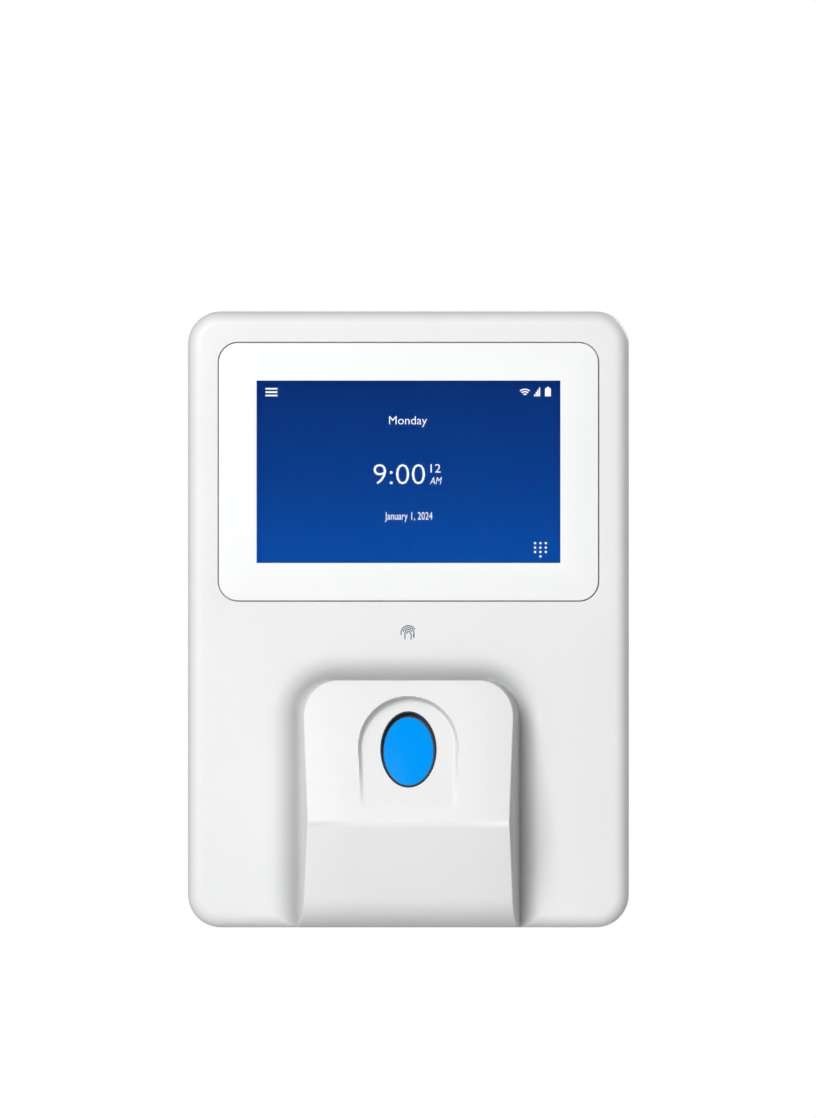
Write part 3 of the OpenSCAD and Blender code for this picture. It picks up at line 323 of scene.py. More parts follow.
# %% [markdown]
# ## Front cover
# The cover is a shallow tray with softly rolled edges. It starts as a block whose four corners and front rim
# are bevelled. Round the scanner housing the face rolls down into a shallow dish, so a net of fine cuts goes
# there first and its points are then pushed back along a circular roll.

# %% Sizes of the cover and the dish
WIDE, HIGH = body_high.x - body_low.x, body_high.z - body_low.z
JOINT_LINE, REVEAL = 18.0, 0.25
CORNER_R, RIM_R, COVER_WALL = 10.2, 4.4, 2.6
pod_low, pod_high = (v * 1000 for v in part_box("scanner_housing"))
POD_HALF, POD_TOP, POD_LOW, POD_R = pod_high.x, pod_high.z, pod_low.z, 11.6
DISH_DEEP = FACE + pod_high.y
DISH_WIDE = 7.5
DISH_ROLL = (DISH_WIDE**2 + DISH_DEEP**2) / (2 * DISH_DEEP)
print("cover", round(WIDE, 1), "x", round(HIGH, 1), "dish", round(DISH_DEEP, 2), "deep")


def beyond_outline(x, z):
    """How far a point on the face lies outside the housing's outline; negative inside."""
    dx, dz = abs(x) - (POD_HALF - POD_R), z - (POD_TOP - POD_R)
    if dx > 0 and dz > 0:
        return math.hypot(dx, dz) - POD_R
    return max(dx, dz) - POD_R


def dish_depth(x, z):
    """How far the face lies back at a point: nothing outside the dish, most at the housing."""
    out = beyond_outline(x, z)
    if out >= DISH_WIDE:
        return 0.0
    run = DISH_WIDE - max(out, 0.0)
    return DISH_ROLL - math.sqrt(DISH_ROLL**2 - run**2)


def net(bm, axis, start, stop, pitch, inside):
    """Cuts straight lines across the faces that pass the test, from start to stop."""
    normal = Vector((1, 0, 0)) if axis == "x" else Vector((0, 0, 1))
    count = round((stop - start) / pitch)
    for i in range(count + 1):
        at = start + (stop - start) * i / count
        near = []
        for f in bm.faces:
            along = [v.co @ normal for v in f.verts]
            if inside(f.calc_center_median()) and min(along) < at < max(along):
                near.append(f)
        geom = list({g for f in near for g in [f, *f.edges, *f.verts]})
        if geom:
            bmesh.ops.bisect_plane(bm, geom=geom, dist=1e-4, plane_co=normal * at, plane_no=normal)


# %% Mould the cover
cover = box_between((body_low.x, -FACE, body_low.z), (body_high.x, -JOINT_LINE - REVEAL, body_high.z))
round_edges(cover, CORNER_R, 14, along_y)
round_edges(cover, RIM_R, 8, lambda a, b: a.y < -FACE + 1e-3 and b.y < -FACE + 1e-3)
back_face = [f for f in cover.faces if all(v.co.y > -JOINT_LINE - REVEAL - 1e-3 for v in f.verts)]
bmesh.ops.delete(cover, geom=back_face, context="FACES")
reach, reach_up = POD_HALF + DISH_WIDE + 0.5, POD_TOP + DISH_WIDE + 0.5
NET_PITCH = 0.9


def in_dish(c):
    return abs(c.x) < reach and c.z < reach_up and c.y < -JOINT_LINE - 1


for plane, normal in ((-reach, (1, 0, 0)), (reach, (1, 0, 0)), (reach_up, (0, 0, 1))):
    normal = Vector(normal)
    everything = [*cover.faces, *cover.edges, *cover.verts]
    bmesh.ops.bisect_plane(cover, geom=everything, dist=1e-4, plane_co=normal * plane, plane_no=normal)
net(cover, "x", -reach, reach, NET_PITCH, in_dish)
net(cover, "z", body_low.z, reach_up, NET_PITCH, in_dish)
for v in cover.verts:
    if in_dish(v.co) or abs(v.co.x) <= reach:
        v.co.y = max(v.co.y, -FACE + dish_depth(v.co.x, v.co.z))
bmesh.ops.remove_doubles(cover, verts=cover.verts, dist=1e-4)
bmesh.ops.recalc_face_normals(cover, faces=cover.faces)
print("cover skin:", len(cover.faces), "faces")
bmesh.ops.solidify(cover, geom=cover.faces, thickness=COVER_WALL)
front_cover = add_piece(
    cover, "cover_shell", "terminal", white_shell, replaces=("front_cover",)
)

# %% Cut the glass pocket, the window and the data port
glass_low, glass_high = (v * 1000 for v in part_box("cover_glass"))
GLASS_W, GLASS_H = glass_high.x - glass_low.x, glass_high.z - glass_low.z
GLASS_Z, GLASS_R, GLASS_GAP = (glass_high.z + glass_low.z) / 2, 6.0, 0.35
port_low, port_high = (v * 1000 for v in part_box("usb_socket"))
flap_low, flap_high = (v * 1000 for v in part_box("usb_flap"))
WINDOW_W, WINDOW_H, WINDOW_R = 102, 64.6, 2
LEDGE_DEEP, WINDOW_DEEP, PORT_DEEP = 1.5, 8, 8
PORT_GAP, FLAP_GAP = 0.3, 0.25
PAST_FACE, PAST_SIDE = 2, 3
ledge_w, ledge_h = GLASS_W + 2 * GLASS_GAP, GLASS_H + 2 * GLASS_GAP
ledge = plate(ledge_w, ledge_h, GLASS_R + GLASS_GAP, FACE - LEDGE_DEEP, FACE + PAST_FACE, (0, GLASS_Z))
opening = plate(WINDOW_W, WINDOW_H, WINDOW_R, FACE - WINDOW_DEEP, FACE + PAST_FACE, (0, GLASS_Z))
port_hole = box_between(
    (body_low.x - PAST_SIDE, port_low.y - PORT_GAP, port_low.z - PORT_GAP),
    (body_low.x + PORT_DEEP, port_high.y + PORT_GAP, port_high.z + PORT_GAP),
)
flap_bed = box_between(
    (body_low.x - PAST_SIDE, flap_low.y - FLAP_GAP, flap_low.z - FLAP_GAP),
    (flap_high.x + FLAP_GAP, flap_high.y + FLAP_GAP, flap_high.z + FLAP_GAP),
)
cut_away(front_cover, [ledge, opening, port_hole, flap_bed])

# %% [markdown]
# ## Scanner housing
# The housing leans out of the cover to a soft crease and then turns back under. Two plane cuts through a
# block give the two faces, its sides are drawn in like any moulding's draft, and every front edge is eased.
# The finger recess is pressed in afterwards: its floor slopes in under a round arch and fades out below.

# %% Sizes of the housing
CREASE_UP, FACE_LEAN = 32.1, 11.0
CREASE_Z, CREASE = POD_LOW + CREASE_UP, -pod_low.y
FACE_TAN = FACE_LEAN / (POD_TOP - CREASE_Z)
UNDER = math.radians(17)
DRAFT = math.tan(math.radians(9))
SEAT, HOUSING_WALL = -pod_high.y, 2.0
TOE_R, RIM_EASE, CREASE_EASE = 9.5, 0.45, 1.2
ARCH_R, RECESS_DEEP, RECESS_LONG = 15.35, 3.5, 33.6
ARCH_TOP = POD_TOP - 5
ARCH_Z, RECESS_END = ARCH_TOP - ARCH_R, ARCH_TOP - RECESS_LONG
FLOOR_TAN = FACE_TAN + RECESS_DEEP / RECESS_LONG
TILT = math.atan(FLOOR_TAN)
SENSOR_Z = POD_TOP - 21.2


def face_depth(z):
    return CREASE - (z - CREASE_Z) * FACE_TAN


def floor_depth(z):
    return face_depth(RECESS_END) - (z - RECESS_END) * FLOOR_TAN


print("housing crease at", round(CREASE_Z, 1), "floor tilt", round(math.degrees(TILT), 1))

# %% Shape the housing
housing = box_between((-POD_HALF, -CREASE - 1, POD_LOW), (POD_HALF, -SEAT, POD_TOP))
round_edges(housing, POD_R, 14, lambda a, b: along_y(a, b) and a.z > CREASE_Z)
for angle in (math.atan(FACE_TAN), -UNDER):
    outward = Vector((0, -math.cos(angle), math.sin(angle)))
    everything = [*housing.faces, *housing.edges, *housing.verts]
    made = bmesh.ops.bisect_plane(
        housing, geom=everything, dist=1e-4, plane_co=(0, -CREASE, CREASE_Z), plane_no=outward,
        clear_outer=True,
    )
    rim = [e for e in made["geom_cut"] if isinstance(e, bmesh.types.BMEdge)]
    bmesh.ops.edgeloop_fill(housing, edges=rim)


def on_toe(a, b):
    """The two ends of the edge along the housing's lower front."""
    low = abs(a.z - POD_LOW) < 1e-3 and abs(b.z - POD_LOW) < 1e-3
    forward = a.y < -SEAT - 1 and b.y < -SEAT - 1
    return low and forward and abs(a.x - b.x) > 1


round_edges(housing, TOE_R, 12, on_toe)
for v in housing.verts:
    v.co.x *= (POD_HALF + (v.co.y + SEAT) * DRAFT) / POD_HALF
back_face = [f for f in housing.faces if all(v.co.y > -SEAT - 1e-3 for v in f.verts)]
bmesh.ops.delete(housing, geom=back_face, context="FACES")


def wraps_front(e):
    """An edge between the front of the housing and one of its walls."""
    if len(e.link_faces) != 2:
        return False
    a, b = (f.normal for f in e.link_faces)
    fronts = sorted((max(-a.y, -a.z - 0.2) > 0.5, max(-b.y, -b.z - 0.2) > 0.5))
    return fronts == [False, True] and e.calc_face_angle(0) > math.radians(40)


def on_crease(e):
    """An edge along the crease between the housing's two faces."""
    return all(abs(v.co.z - CREASE_Z) < 0.02 and abs(v.co.y + CREASE) < 0.02 for v in e.verts)


bmesh.ops.recalc_face_normals(housing, faces=housing.faces)
rim = [e for e in housing.edges if wraps_front(e)]
roll_over(housing, rim, RIM_EASE, 3)
crease = [e for e in housing.edges if on_crease(e)]
roll_over(housing, crease, CREASE_EASE, 5)
print("housing block:", len(housing.faces), "faces,", len(rim), "rim edges,", len(crease), "crease edges")

# %% Press in the finger recess
EASE, EASE_POWER, FINE = 1.2, 1.8, 0.36
ARCH_DRAFT = 0.045
edge_x, low_z, high_z = ARCH_R + EASE, RECESS_END - 2, ARCH_TOP + EASE


def in_arch(x, z):
    """How far inside the recess's outline a point lies; negative outside."""
    if z > ARCH_Z:
        return ARCH_R - math.hypot(x, z - ARCH_Z)
    return ARCH_R - ARCH_DRAFT * (ARCH_Z - z) - abs(x)


def on_front(c):
    return c.y < -FACE - 4


def in_press(c):
    return abs(c.x) < edge_x and low_z < c.z < high_z and on_front(c)


net(housing, "x", -edge_x, edge_x, 2 * edge_x, on_front)
net(housing, "z", low_z, high_z, high_z - low_z, on_front)
net(housing, "x", -edge_x, edge_x, FINE, in_press)
net(housing, "z", low_z, high_z, FINE, in_press)
for v in housing.verts:
    if in_press(v.co) and v.co.z > RECESS_END:
        t = min(max(in_arch(v.co.x, v.co.z) / EASE, 0), 1)
        sink = face_depth(v.co.z) - floor_depth(v.co.z)
        v.co.y += sink * (1 - (1 - t) ** EASE_POWER)
bmesh.ops.remove_doubles(housing, verts=housing.verts, dist=1e-4)
bmesh.ops.recalc_face_normals(housing, faces=housing.faces)
bmesh.ops.solidify(housing, geom=housing.faces, thickness=HOUSING_WALL)
housing_shell = add_piece(
    housing, "housing_shell", "terminal", white_housing, replaces=("scanner_housing",)
)

# %% Open the oval for the sensor
floor_turn = Matrix.Rotation(math.pi / 2 - TILT, 4, "X")
on_floor = Matrix.Translation((0, -floor_depth(SENSOR_Z), SENSOR_Z)) @ floor_turn
RING_A, RING_B, RING_WALL, SUNK = 8.5, 12.2, 0.85, 1.8
HOLE_GAP, PANE_GAP = 0.15, 0.06


def oval_block(a, b, low, high):
    """An upright oval block, standing on the recess floor's own frame."""
    bm = bmesh.new()
    bmesh.ops.create_cone(bm, cap_ends=True, segments=96, radius1=a, radius2=a, depth=high - low)
    bmesh.ops.translate(bm, vec=(0, 0, (low + high) / 2), verts=bm.verts)
    bmesh.ops.scale(bm, vec=(1, b / a, 1), verts=bm.verts)
    return bm


hole = oval_block(RING_A + HOLE_GAP, RING_B + HOLE_GAP, -8, 6)
hole.transform(on_floor)
cut_away(housing_shell, [hole])

# %% [markdown]
# ## Sensor ring and window
# A dark gloss ring frames the window, which glows blue to show that the reader is ready. The ring is turned
# from its section by a spin and then drawn out to an oval.

# %% Ring
ring_black = moulded(
    "ring_black", srgb(5, 8, 18), srgb(9, 13, 25), gloss=(0.3, 0.38), grain=3000, height=0.000003
)
ring = bmesh.new()
LIP, FLANGE = 0.3, 2
RING_BACK, FLANGE_BACK, FLANGE_FRONT = -3.8, -3.55, -2.35
section = [
    (RING_A, RING_BACK), (RING_A, FLANGE_BACK),
    (RING_A + FLANGE, FLANGE_BACK), (RING_A + FLANGE, FLANGE_FRONT), (RING_A, FLANGE_FRONT),
    (RING_A, 0.02), (RING_A - 0.08, 0.1), (RING_A - LIP + 0.08, 0.1), (RING_A - LIP, 0.02),
    (RING_A - LIP, -SUNK + 0.15), (RING_A - LIP - 0.12, -SUNK + 0.02),
    (RING_A - RING_WALL, -SUNK + 0.02), (RING_A - RING_WALL, RING_BACK),
]
corners = [ring.verts.new((r, 0, h)) for r, h in section]
loop = [ring.edges.new((corners[i], corners[i - 1])) for i in range(len(corners))]
bmesh.ops.spin(
    ring, geom=corners + loop, cent=(0, 0, 0), axis=(0, 0, 1), angle=2 * math.pi, steps=96, use_merge=True
)
bmesh.ops.scale(ring, vec=(1, RING_B / RING_A, 1), verts=ring.verts)
bmesh.ops.recalc_face_normals(ring, faces=ring.faces)
add_piece(ring, "oval_ring", "terminal", ring_black, place=on_floor, replaces=("sensor_ring",))


# %% Glowing window
def glowing(name, colour, strength=1.0):
    """A surface that gives its own light and mirrors almost none of the room's."""
    mat = bpy.data.materials.new(name)
    mat.use_nodes = True
    shader = mat.node_tree.nodes["Principled BSDF"]
    shader.inputs["Base Color"].default_value = (0.0, 0.01, 0.02, 1)
    shader.inputs["Emission Color"].default_value = colour
    shader.inputs["Emission Strength"].default_value = strength
    shader.inputs["Specular IOR Level"].default_value = 0.02
    wire(mat, spread(mat, noise(mat, 300), 0.2, 0.3), "Result", shader, "Roughness")
    return mat


sensor_blue = glowing("sensor_blue", srgb(0, 154, 252), 0.97)
pane_a, pane_b = RING_A - RING_WALL - PANE_GAP, RING_B - RING_WALL - PANE_GAP
window = oval_block(pane_a, pane_b, -SUNK - 2, -SUNK)
round_edges(window, 0.3, 3, lambda a, b: a.z > -SUNK - 0.01 and b.z > -SUNK - 0.01)
add_piece(
    window, "oval_window", "terminal", sensor_blue, place=on_floor, replaces=("sensor_window",)
)

# %% [markdown]
# ## Cover glass and picture
# The glass has a white border printed on its back and a clear middle over the lit picture. Printed glass
# looks like a gloss white sheet, so the border is one piece with a clear coat, and the middle is clear glass.

# %% Glass border and clear middle
glass_white = moulded(
    "glass_white", srgb(226, 227, 227), srgb(228, 229, 229), gloss=(0.55, 0.6), grain=900, height=0.000001,
    coat=1.0,
)
PICTURE_W, PICTURE_H, MIDDLE_GAP = 93.6, 56.2, 0.02
border = plate(GLASS_W, GLASS_H, GLASS_R, -glass_high.y, -glass_low.y, (0, GLASS_Z))
round_edges(border, 0.25, 3, lambda a, b: a.y < glass_low.y + 1e-3 and b.y < glass_low.y + 1e-3)
glass_border = add_piece(
    border, "glass_border", "terminal", glass_white, replaces=("cover_glass",)
)
cut_away(glass_border, [plate(PICTURE_W, PICTURE_H, 0, -glass_high.y - 1, -glass_low.y + 1, (0, GLASS_Z))])

clear_glass = bpy.data.materials.new("clear_glass")
clear_glass.use_nodes = True
glass_shader = clear_glass.node_tree.nodes["Principled BSDF"]
glass_shader.inputs["Transmission Weight"].default_value = 1.0
glass_shader.inputs["IOR"].default_value = 1.08
glass_shader.inputs["Base Color"].default_value = (1, 1, 1, 1)
glass_gloss = spread(clear_glass, noise(clear_glass, 40), 0.0, 0.015)
wire(clear_glass, glass_gloss, "Result", glass_shader, "Roughness")
middle_w, middle_h = PICTURE_W - 2 * MIDDLE_GAP, PICTURE_H - 2 * MIDDLE_GAP
middle = plate(middle_w, middle_h, 0, -glass_high.y, -glass_low.y, (0, GLASS_Z))
add_piece(middle, "glass_middle", "terminal", clear_glass)

# %% Picture
lit_picture = glowing("lit_picture", srgb(8, 50, 134), 1.0)
nodes, links = lit_picture.node_tree.nodes, lit_picture.node_tree.links
coords = nodes.new("ShaderNodeTexCoord")
split = nodes.new("ShaderNodeSeparateXYZ")
rise = nodes.new("ShaderNodeMapRange")
rise.inputs["From Min"].default_value = (GLASS_Z - PICTURE_H / 2) * MM
rise.inputs["From Max"].default_value = (GLASS_Z + PICTURE_H / 2) * MM
shades = nodes.new("ShaderNodeValToRGB")
shades.color_ramp.elements[0].color = srgb(0, 67, 160)
shades.color_ramp.elements[1].color = srgb(0, 33, 110)
middle_shade = shades.color_ramp.elements.new(0.5)
middle_shade.color = srgb(0, 48, 134)
links.new(coords.outputs["Object"], split.inputs[0])
links.new(split.outputs["Z"], rise.inputs["Value"])
links.new(rise.outputs["Result"], shades.inputs["Fac"])
links.new(shades.outputs["Color"], lit_picture.node_tree.nodes["Principled BSDF"].inputs["Emission Color"])
PICTURE_DEPTH, PICTURE_THICK, PROUD = 28.3, 0.08, 0.03
sheet = plate(PICTURE_W, PICTURE_H, 0, PICTURE_DEPTH - PICTURE_THICK, PICTURE_DEPTH, (0, GLASS_Z))
add_piece(sheet, "picture", "terminal", lit_picture)

# %% [markdown]
# The screen shows a plain clock: the weekday, the time and the date, with a few status signs. Lettering
# starts as text, becomes a mesh, and is then fitted to the room it has on the screen.

# %% Lettering and signs on the screen
sign_white = glowing("sign_white", srgb(240, 243, 248), 1.15)


def screen_text(words, name, left, right, low, high, slant=0.0, thin=0.005):
    """Fits words between left and right, low and high on the screen, with thin taken off every stroke."""
    curve = bpy.data.curves.new(name, "FONT")
    curve.body, curve.shear, curve.resolution_u = words, slant, 3
    curve.offset = -thin
    holder = bpy.data.objects.new(name, curve)
    bpy.context.scene.collection.objects.link(holder)
    bpy.context.view_layer.update()
    flat = bpy.data.meshes.new_from_object(holder.evaluated_get(bpy.context.evaluated_depsgraph_get()))
    bpy.data.objects.remove(holder)
    bm = bmesh.new()
    bm.from_mesh(flat)
    xs, ys = [v.co.x for v in bm.verts], [v.co.y for v in bm.verts]
    bmesh.ops.translate(bm, vec=(-min(xs), -min(ys), 0), verts=bm.verts)
    wide, tall = max(xs) - min(xs), max(ys) - min(ys)
    bmesh.ops.scale(bm, vec=((right - left) / wide, (high - low) / tall, 1), verts=bm.verts)
    stand = Matrix.Translation((left, -PICTURE_DEPTH - PROUD, low)) @ Matrix.Rotation(math.pi / 2, 4, "X")
    return add_piece(bm, name, "terminal", sign_white, place=stand)


def flat_patch(bm, corners, depth):
    """Adds a flat patch that faces the room."""
    bm.faces.new([bm.verts.new((x, -depth, z)) for x, z in corners])


def bar(bm, left, right, low, high, depth=PICTURE_DEPTH + PROUD):
    """Adds a flat bar, on the screen unless another depth is given."""
    flat_patch(bm, ((left, low), (right, low), (right, high), (left, high)), depth)


def dot(bm, x, z, radius):
    """Adds a round dot to the signs."""
    stand = Matrix.Translation((x, -PICTURE_DEPTH - PROUD, z)) @ Matrix.Rotation(math.pi / 2, 4, "X")
    bmesh.ops.create_circle(bm, cap_ends=True, segments=16, radius=radius, matrix=stand)


def arc_stroke(bm, x, z, radius, width, start, stop, depth, steps=10):
    """Adds a curved stroke about a centre, its angles in degrees clockwise from the top."""
    for i in range(steps):
        a, b = (math.radians(start + (stop - start) * k / steps) for k in (i, i + 1))
        corners = ((radius, a), (radius, b), (radius + width, b), (radius + width, a))
        flat_patch(bm, [(x + q * math.sin(t), z + q * math.cos(t)) for q, t in corners], depth)


screen_text("Monday", "weekday", -6.0, 5.7, 59.3, 62.7)
screen_text("9:00", "time", -10.8, 5.1, 41.7, 47.9, thin=0.012)
screen_text("12", "seconds", 6.8, 9.9, 45.3, 47.9)
screen_text("AM", "half_day", 6.6, 10.3, 41.7, 43.9, slant=0.25)
screen_text("January 1, 2024", "date", -7.3, 7.4, 30.0, 33.1, thin=0.0)
signs = bmesh.new()
for i in range(3):
    bar(signs, -44.1, -40.4, 68.8 + 1.05 * i, 69.3 + 1.05 * i)
bar(signs, 42.1, 43.9, 68.8, 71.3)
bar(signs, 42.6, 43.4, 71.3, 71.7)
for i in range(4):
    bar(signs, 38.7 + 0.5 * i, 39.1 + 0.5 * i, 68.8, 69.4 + 0.7 * i)
for column in (-1, 0, 1):
    for row in (0, 1, 2):
        dot(signs, 40.7 + 1.66 * column, 23.5 - 1.35 * row, 0.36)
dot(signs, 40.7, 23.5 - 1.35 * 3, 0.36)
for r in (0.5, 1.25, 2.0):
    arc_stroke(signs, 35.9, 68.8, r, 0.38, -42, 42, PICTURE_DEPTH + PROUD)
bmesh.ops.recalc_face_normals(signs, faces=signs.faces)
add_piece(signs, "status_signs", "terminal", sign_white)

# %% [markdown]
# ## Printed mark
# A small sign on the face shows what the terminal reads: a fingerprint, drawn as a few nested ridges in
# navy ink. Ink has almost no thickness, so the ridges lie three hundredths of a millimetre proud.

# %% Fingerprint sign
ink_navy = moulded(
    "ink_navy", srgb(38, 52, 92), srgb(46, 60, 102), gloss=(0.4, 0.5), grain=1500, height=0.000002
)
sign = bmesh.new()
SIGN_Z, STROKE = -4.2, 0.3
for r, start, stop in ((0.35, -110, 110), (0.95, -120, 70), (1.55, -75, 125), (2.15, -105, 60)):
    arc_stroke(sign, 0, SIGN_Z, r, STROKE, start, stop, FACE + PROUD, 16)
for x, low, high in ((0.8, -2.0, -0.1), (-1.1, -1.9, -0.3), (1.7, -1.5, -0.5)):
    bar(sign, x - STROKE / 2, x + STROKE / 2, SIGN_Z + low, SIGN_Z + high, FACE + PROUD)
bmesh.ops.recalc_face_normals(sign, faces=sign.faces)
add_piece(sign, "fingerprint_sign", "terminal", ink_navy)

# %% [markdown]
# ## Finishes of the parts that stay as drawn
# The bracket, the rear case and everything inside are already the right shape, so they only get their real
# finishes: zinc plate with its frosty grain, turned steel, solder mask over copper tracks, foam and so on.


# %% Metals
def metal(name, dark, light, gloss, grain=900):
    """Bare metal: shade and gloss that drift, with a fine grain."""
    mat = moulded(name, dark, light, gloss, grain, height=0.000004, mottle=120)
    mat.node_tree.nodes["Principled BSDF"].inputs["Metallic"].default_value = 1.0
    return mat


def crystals(name, dark, light, gloss, size):
    """Zinc plate: patches of crystal, each with its own shade."""
    mat = metal(name, dark, light, gloss)
    nodes = mat.node_tree.nodes
    cells = nodes.new("ShaderNodeTexVoronoi")
    cells.inputs["Scale"].default_value = size
    coords = nodes.new("ShaderNodeTexCoord")
    wire(mat, coords, "Object", cells, "Vector")
    grey = nodes.new("ShaderNodeSeparateColor")
    wire(mat, cells, "Color", grey, "Color")
    ramp = next(n for n in nodes if n.type == "VALTORGB")
    wire(mat, grey, "Red", ramp, "Fac")
    ramp.color_ramp.elements[0].position, ramp.color_ramp.elements[1].position = 0.1, 0.9
    return mat


def tracks(name, mask, copper, size):
    """A circuit board: solder mask with the copper tracks just showing through."""
    mat = moulded(name, mask, mask, gloss=(0.22, 0.3), grain=1800, height=0.000003)
    nodes = mat.node_tree.nodes
    bricks = nodes.new("ShaderNodeTexBrick")
    bricks.inputs["Scale"].default_value = size
    bricks.inputs["Mortar Size"].default_value = 0.06
    bricks.inputs["Color1"].default_value = bricks.inputs["Color2"].default_value = mask
    bricks.inputs["Mortar"].default_value = copper
    coords, turn = nodes.new("ShaderNodeTexCoord"), nodes.new("ShaderNodeMapping")
    turn.inputs["Rotation"].default_value = (math.radians(90), 0, 0)
    wire(mat, coords, "Object", turn, "Vector")
    wire(mat, turn, "Vector", bricks, "Vector")
    wire(mat, bricks, "Color", nodes["Principled BSDF"], "Base Color")
    return mat


def wear(material, *names):
    """Gives a finish to CAD nodes."""
    for name in names:
        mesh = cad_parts[name].data
        mesh.materials.clear()
        mesh.materials.append(material)


# %% Give each part its finish
shell_back = moulded(
    "shell_back", srgb(204, 205, 206), srgb(209, 210, 210), gloss=(0.5, 0.6), grain=1500, height=0.00002
)
wear(shell_back, "rear_case")
wear(clear_glass, "touch_sensor")
wear(moulded("flap_rubber", srgb(206, 207, 207), srgb(211, 212, 212), gloss=(0.55, 0.65), grain=2600),
     "usb_flap")
wear(crystals("zinc_plate", srgb(182, 185, 188), srgb(200, 203, 206), (0.5, 0.6), 900), "wall_bracket")
steel = metal("turned_steel", srgb(176, 178, 182), srgb(206, 208, 210), (0.2, 0.32), 1400)
wear(steel, "lock_screw", "chassis_screws", "sensor_screws", "board_screws", "wiring_screws", "case_screws",
     "housing_screws", "usb_flap_pin", "clock_cell")
wear(metal("stamped_can", srgb(186, 189, 193), srgb(206, 208, 211), (0.28, 0.4), 700), "processor_can",
     "usb_socket", "lcd_chassis")
wear(metal("tinned_jack", srgb(178, 180, 184), srgb(200, 202, 205), (0.3, 0.42), 800), "network_socket")
wear(metal("insert_brass", srgb(190, 150, 72), srgb(216, 178, 98), (0.24, 0.36), 1400), "case_inserts")
wear(moulded("washer_black", srgb(22, 23, 25), srgb(32, 33, 36), grain=2600), "lock_washer")
wear(tracks("board_green", srgb(16, 84, 50), srgb(36, 118, 70), 320), "main_board", "sensor_board")
wear(moulded("chip_black", srgb(28, 29, 31), srgb(38, 39, 42), gloss=(0.5, 0.62), grain=3000), "board_chips",
     "sensor_camera", "sensor_body", "tamper_switch", "reset_switch", "speaker", "power_jack", "lcd_frame")
wear(moulded("capacitor_sleeve", srgb(22, 30, 58), srgb(30, 40, 74), gloss=(0.28, 0.36)), "board_capacitors")
wear(moulded("foam_grey", srgb(52, 54, 57), srgb(72, 74, 78), gloss=(0.85, 0.95), grain=1600, height=0.0001),
     "lcd_foam", "speaker_foam")
wear(moulded("tape_white", srgb(206, 206, 204), srgb(214, 214, 212), gloss=(0.6, 0.7)), "glass_tape")
wear(moulded("flex_amber", srgb(150, 92, 30), srgb(172, 110, 42), gloss=(0.25, 0.35)), "lcd_flex")
wear(moulded("ribbon_cream", srgb(206, 200, 182), srgb(216, 210, 194), gloss=(0.4, 0.5)), "sensor_ribbon",
     "ribbon_sockets", "tamper_plunger")
wear(moulded("block_green", srgb(28, 116, 62), srgb(40, 134, 76), gloss=(0.4, 0.5)), "wiring_block")
wear(moulded("relay_blue", srgb(28, 84, 158), srgb(38, 98, 176), gloss=(0.3, 0.4)), "door_relay")
wear(moulded("light_guide", srgb(216, 220, 226), srgb(224, 228, 232), gloss=(0.3, 0.4)), "lcd_backlight",
     "sensor_leds", "sensor_prism")
wear(moulded("panel_black", srgb(14, 15, 18), srgb(20, 21, 25), gloss=(0.12, 0.2), coat=0.4), "lcd_panel")
wear(moulded("holder_black", srgb(34, 35, 38), srgb(46, 47, 50)), "cell_holder", "aerial_lead")
wear(moulded("button_grey", srgb(72, 75, 80), srgb(84, 87, 92)), "reset_button")
wear(moulded("lead_red", srgb(150, 24, 22), srgb(170, 34, 30), gloss=(0.35, 0.45)), "speaker_leads")
wear(tracks("aerial_board", srgb(20, 30, 28), srgb(150, 110, 60), 500), "wifi_aerial")
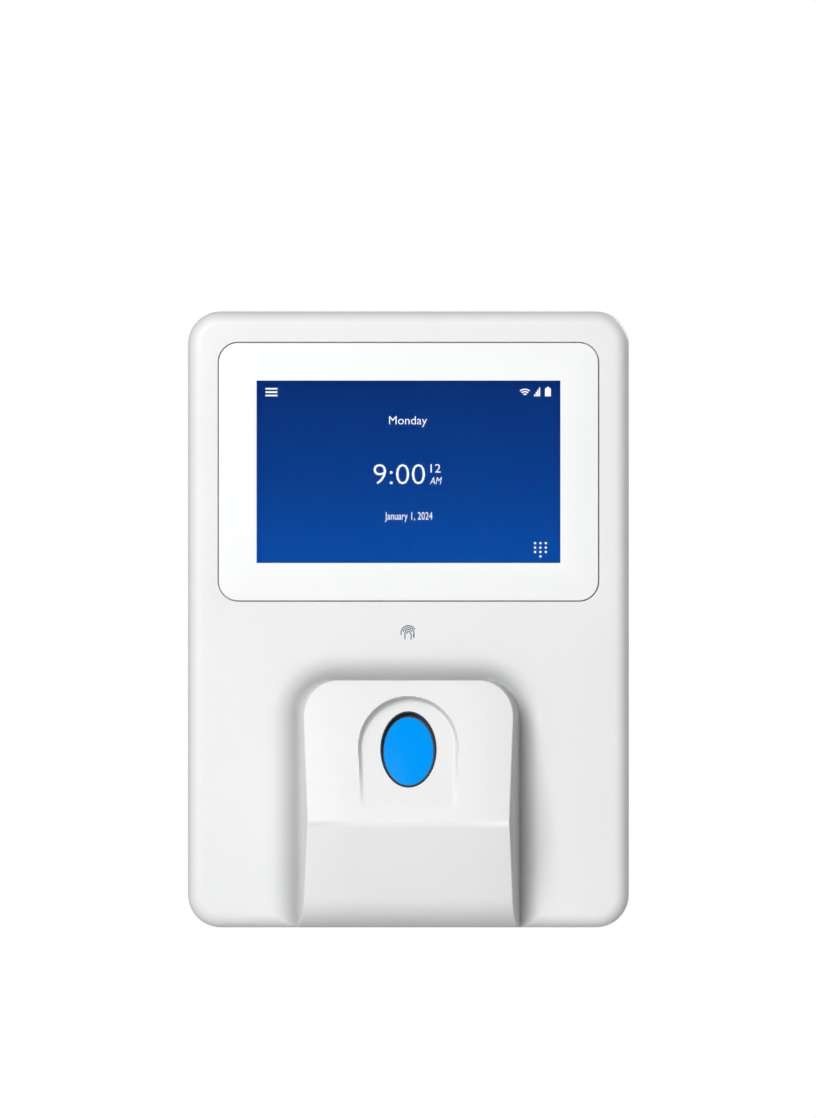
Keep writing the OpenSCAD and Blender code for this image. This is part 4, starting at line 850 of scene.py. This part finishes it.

# %% [markdown]
# ## Tamper spring
# A spring is one round wire wound round an axis, so a small circle is spun and lifted at the same time. The
# real spring flattens towards the switch when the plunger is pressed in; this one is wound at one length
# only.

# %% Wind the spring
spring_low, spring_high = (v * 1000 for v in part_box("tamper_spring"))
WIRE_R, TURNS, TURN_STEPS = 0.2, 3, 32
spring_mid = (spring_low + spring_high) / 2
spring_reach, spring_long = (spring_high.x - spring_low.x) / 2, spring_high.y - spring_low.y
spring = bmesh.new()
wire_end = Matrix.Translation((spring_reach - WIRE_R, 0, WIRE_R)) @ Matrix.Rotation(math.pi / 2, 4, "X")
made = bmesh.ops.create_circle(spring, cap_ends=False, segments=10, radius=WIRE_R, matrix=wire_end)
wire_edges = list({e for v in made["verts"] for e in v.link_edges})
steps = TURNS * TURN_STEPS
climb = (0, 0, (spring_long - 2 * WIRE_R) / steps)
bmesh.ops.spin(spring, geom=made["verts"] + wire_edges, cent=(0, 0, 0), axis=(0, 0, 1), dvec=climb,
               angle=TURNS * 2 * math.pi, steps=steps)
bmesh.ops.holes_fill(spring, edges=[e for e in spring.edges if e.is_boundary])
bmesh.ops.recalc_face_normals(spring, faces=spring.faces)
back_turn = Matrix.Rotation(-math.pi / 2, 4, "X")
lie_back = Matrix.Translation((spring_mid.x, spring_low.y, spring_mid.z)) @ back_turn
coil = add_piece(
    spring, "coil_spring", "terminal", steel, place=lie_back, replaces=("tamper_spring",)
)
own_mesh(coil)

# %% [markdown]
# ## Contacts in the network socket
# The socket is drawn as a shell. Its eight sprung gold contacts are small, but they are what makes a socket
# look like one, so they are bent up from thin strips here.

# %% Bend the contacts
gold = metal("contact_gold", srgb(206, 164, 72), srgb(228, 188, 96), (0.18, 0.28), 1600)
net_low, net_high = (v * 1000 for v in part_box("network_socket"))
net_mid = (net_low.x + net_high.x) / 2
CONTACTS, PITCH, HALF_STRIP = 8, 1.02, 0.22
contacts = bmesh.new()
for i in range(CONTACTS):
    x = net_mid + (i - (CONTACTS - 1) / 2) * PITCH
    left, right = x - HALF_STRIP, x + HALF_STRIP
    bend = [(-12.9, net_low.z + 2.5), (-12.4, net_low.z + 6.0), (-10.2, net_low.z + 10.5)]
    for (y0, z0), (y1, z1) in zip(bend, bend[1:]):
        strip = ((left, y0, z0), (right, y0, z0), (right, y1, z1), (left, y1, z1))
        contacts.faces.new([contacts.verts.new(p) for p in strip])
bmesh.ops.remove_doubles(contacts, verts=contacts.verts, dist=1e-3)
bmesh.ops.recalc_face_normals(contacts, faces=contacts.faces)
bmesh.ops.solidify(contacts, geom=contacts.faces, thickness=0.2)
add_piece(contacts, "network_contacts", "terminal", gold)

left_plain = [n for n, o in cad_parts.items() if not o.hide_render and not o.data.materials]
print("nodes without a finish:", left_plain)
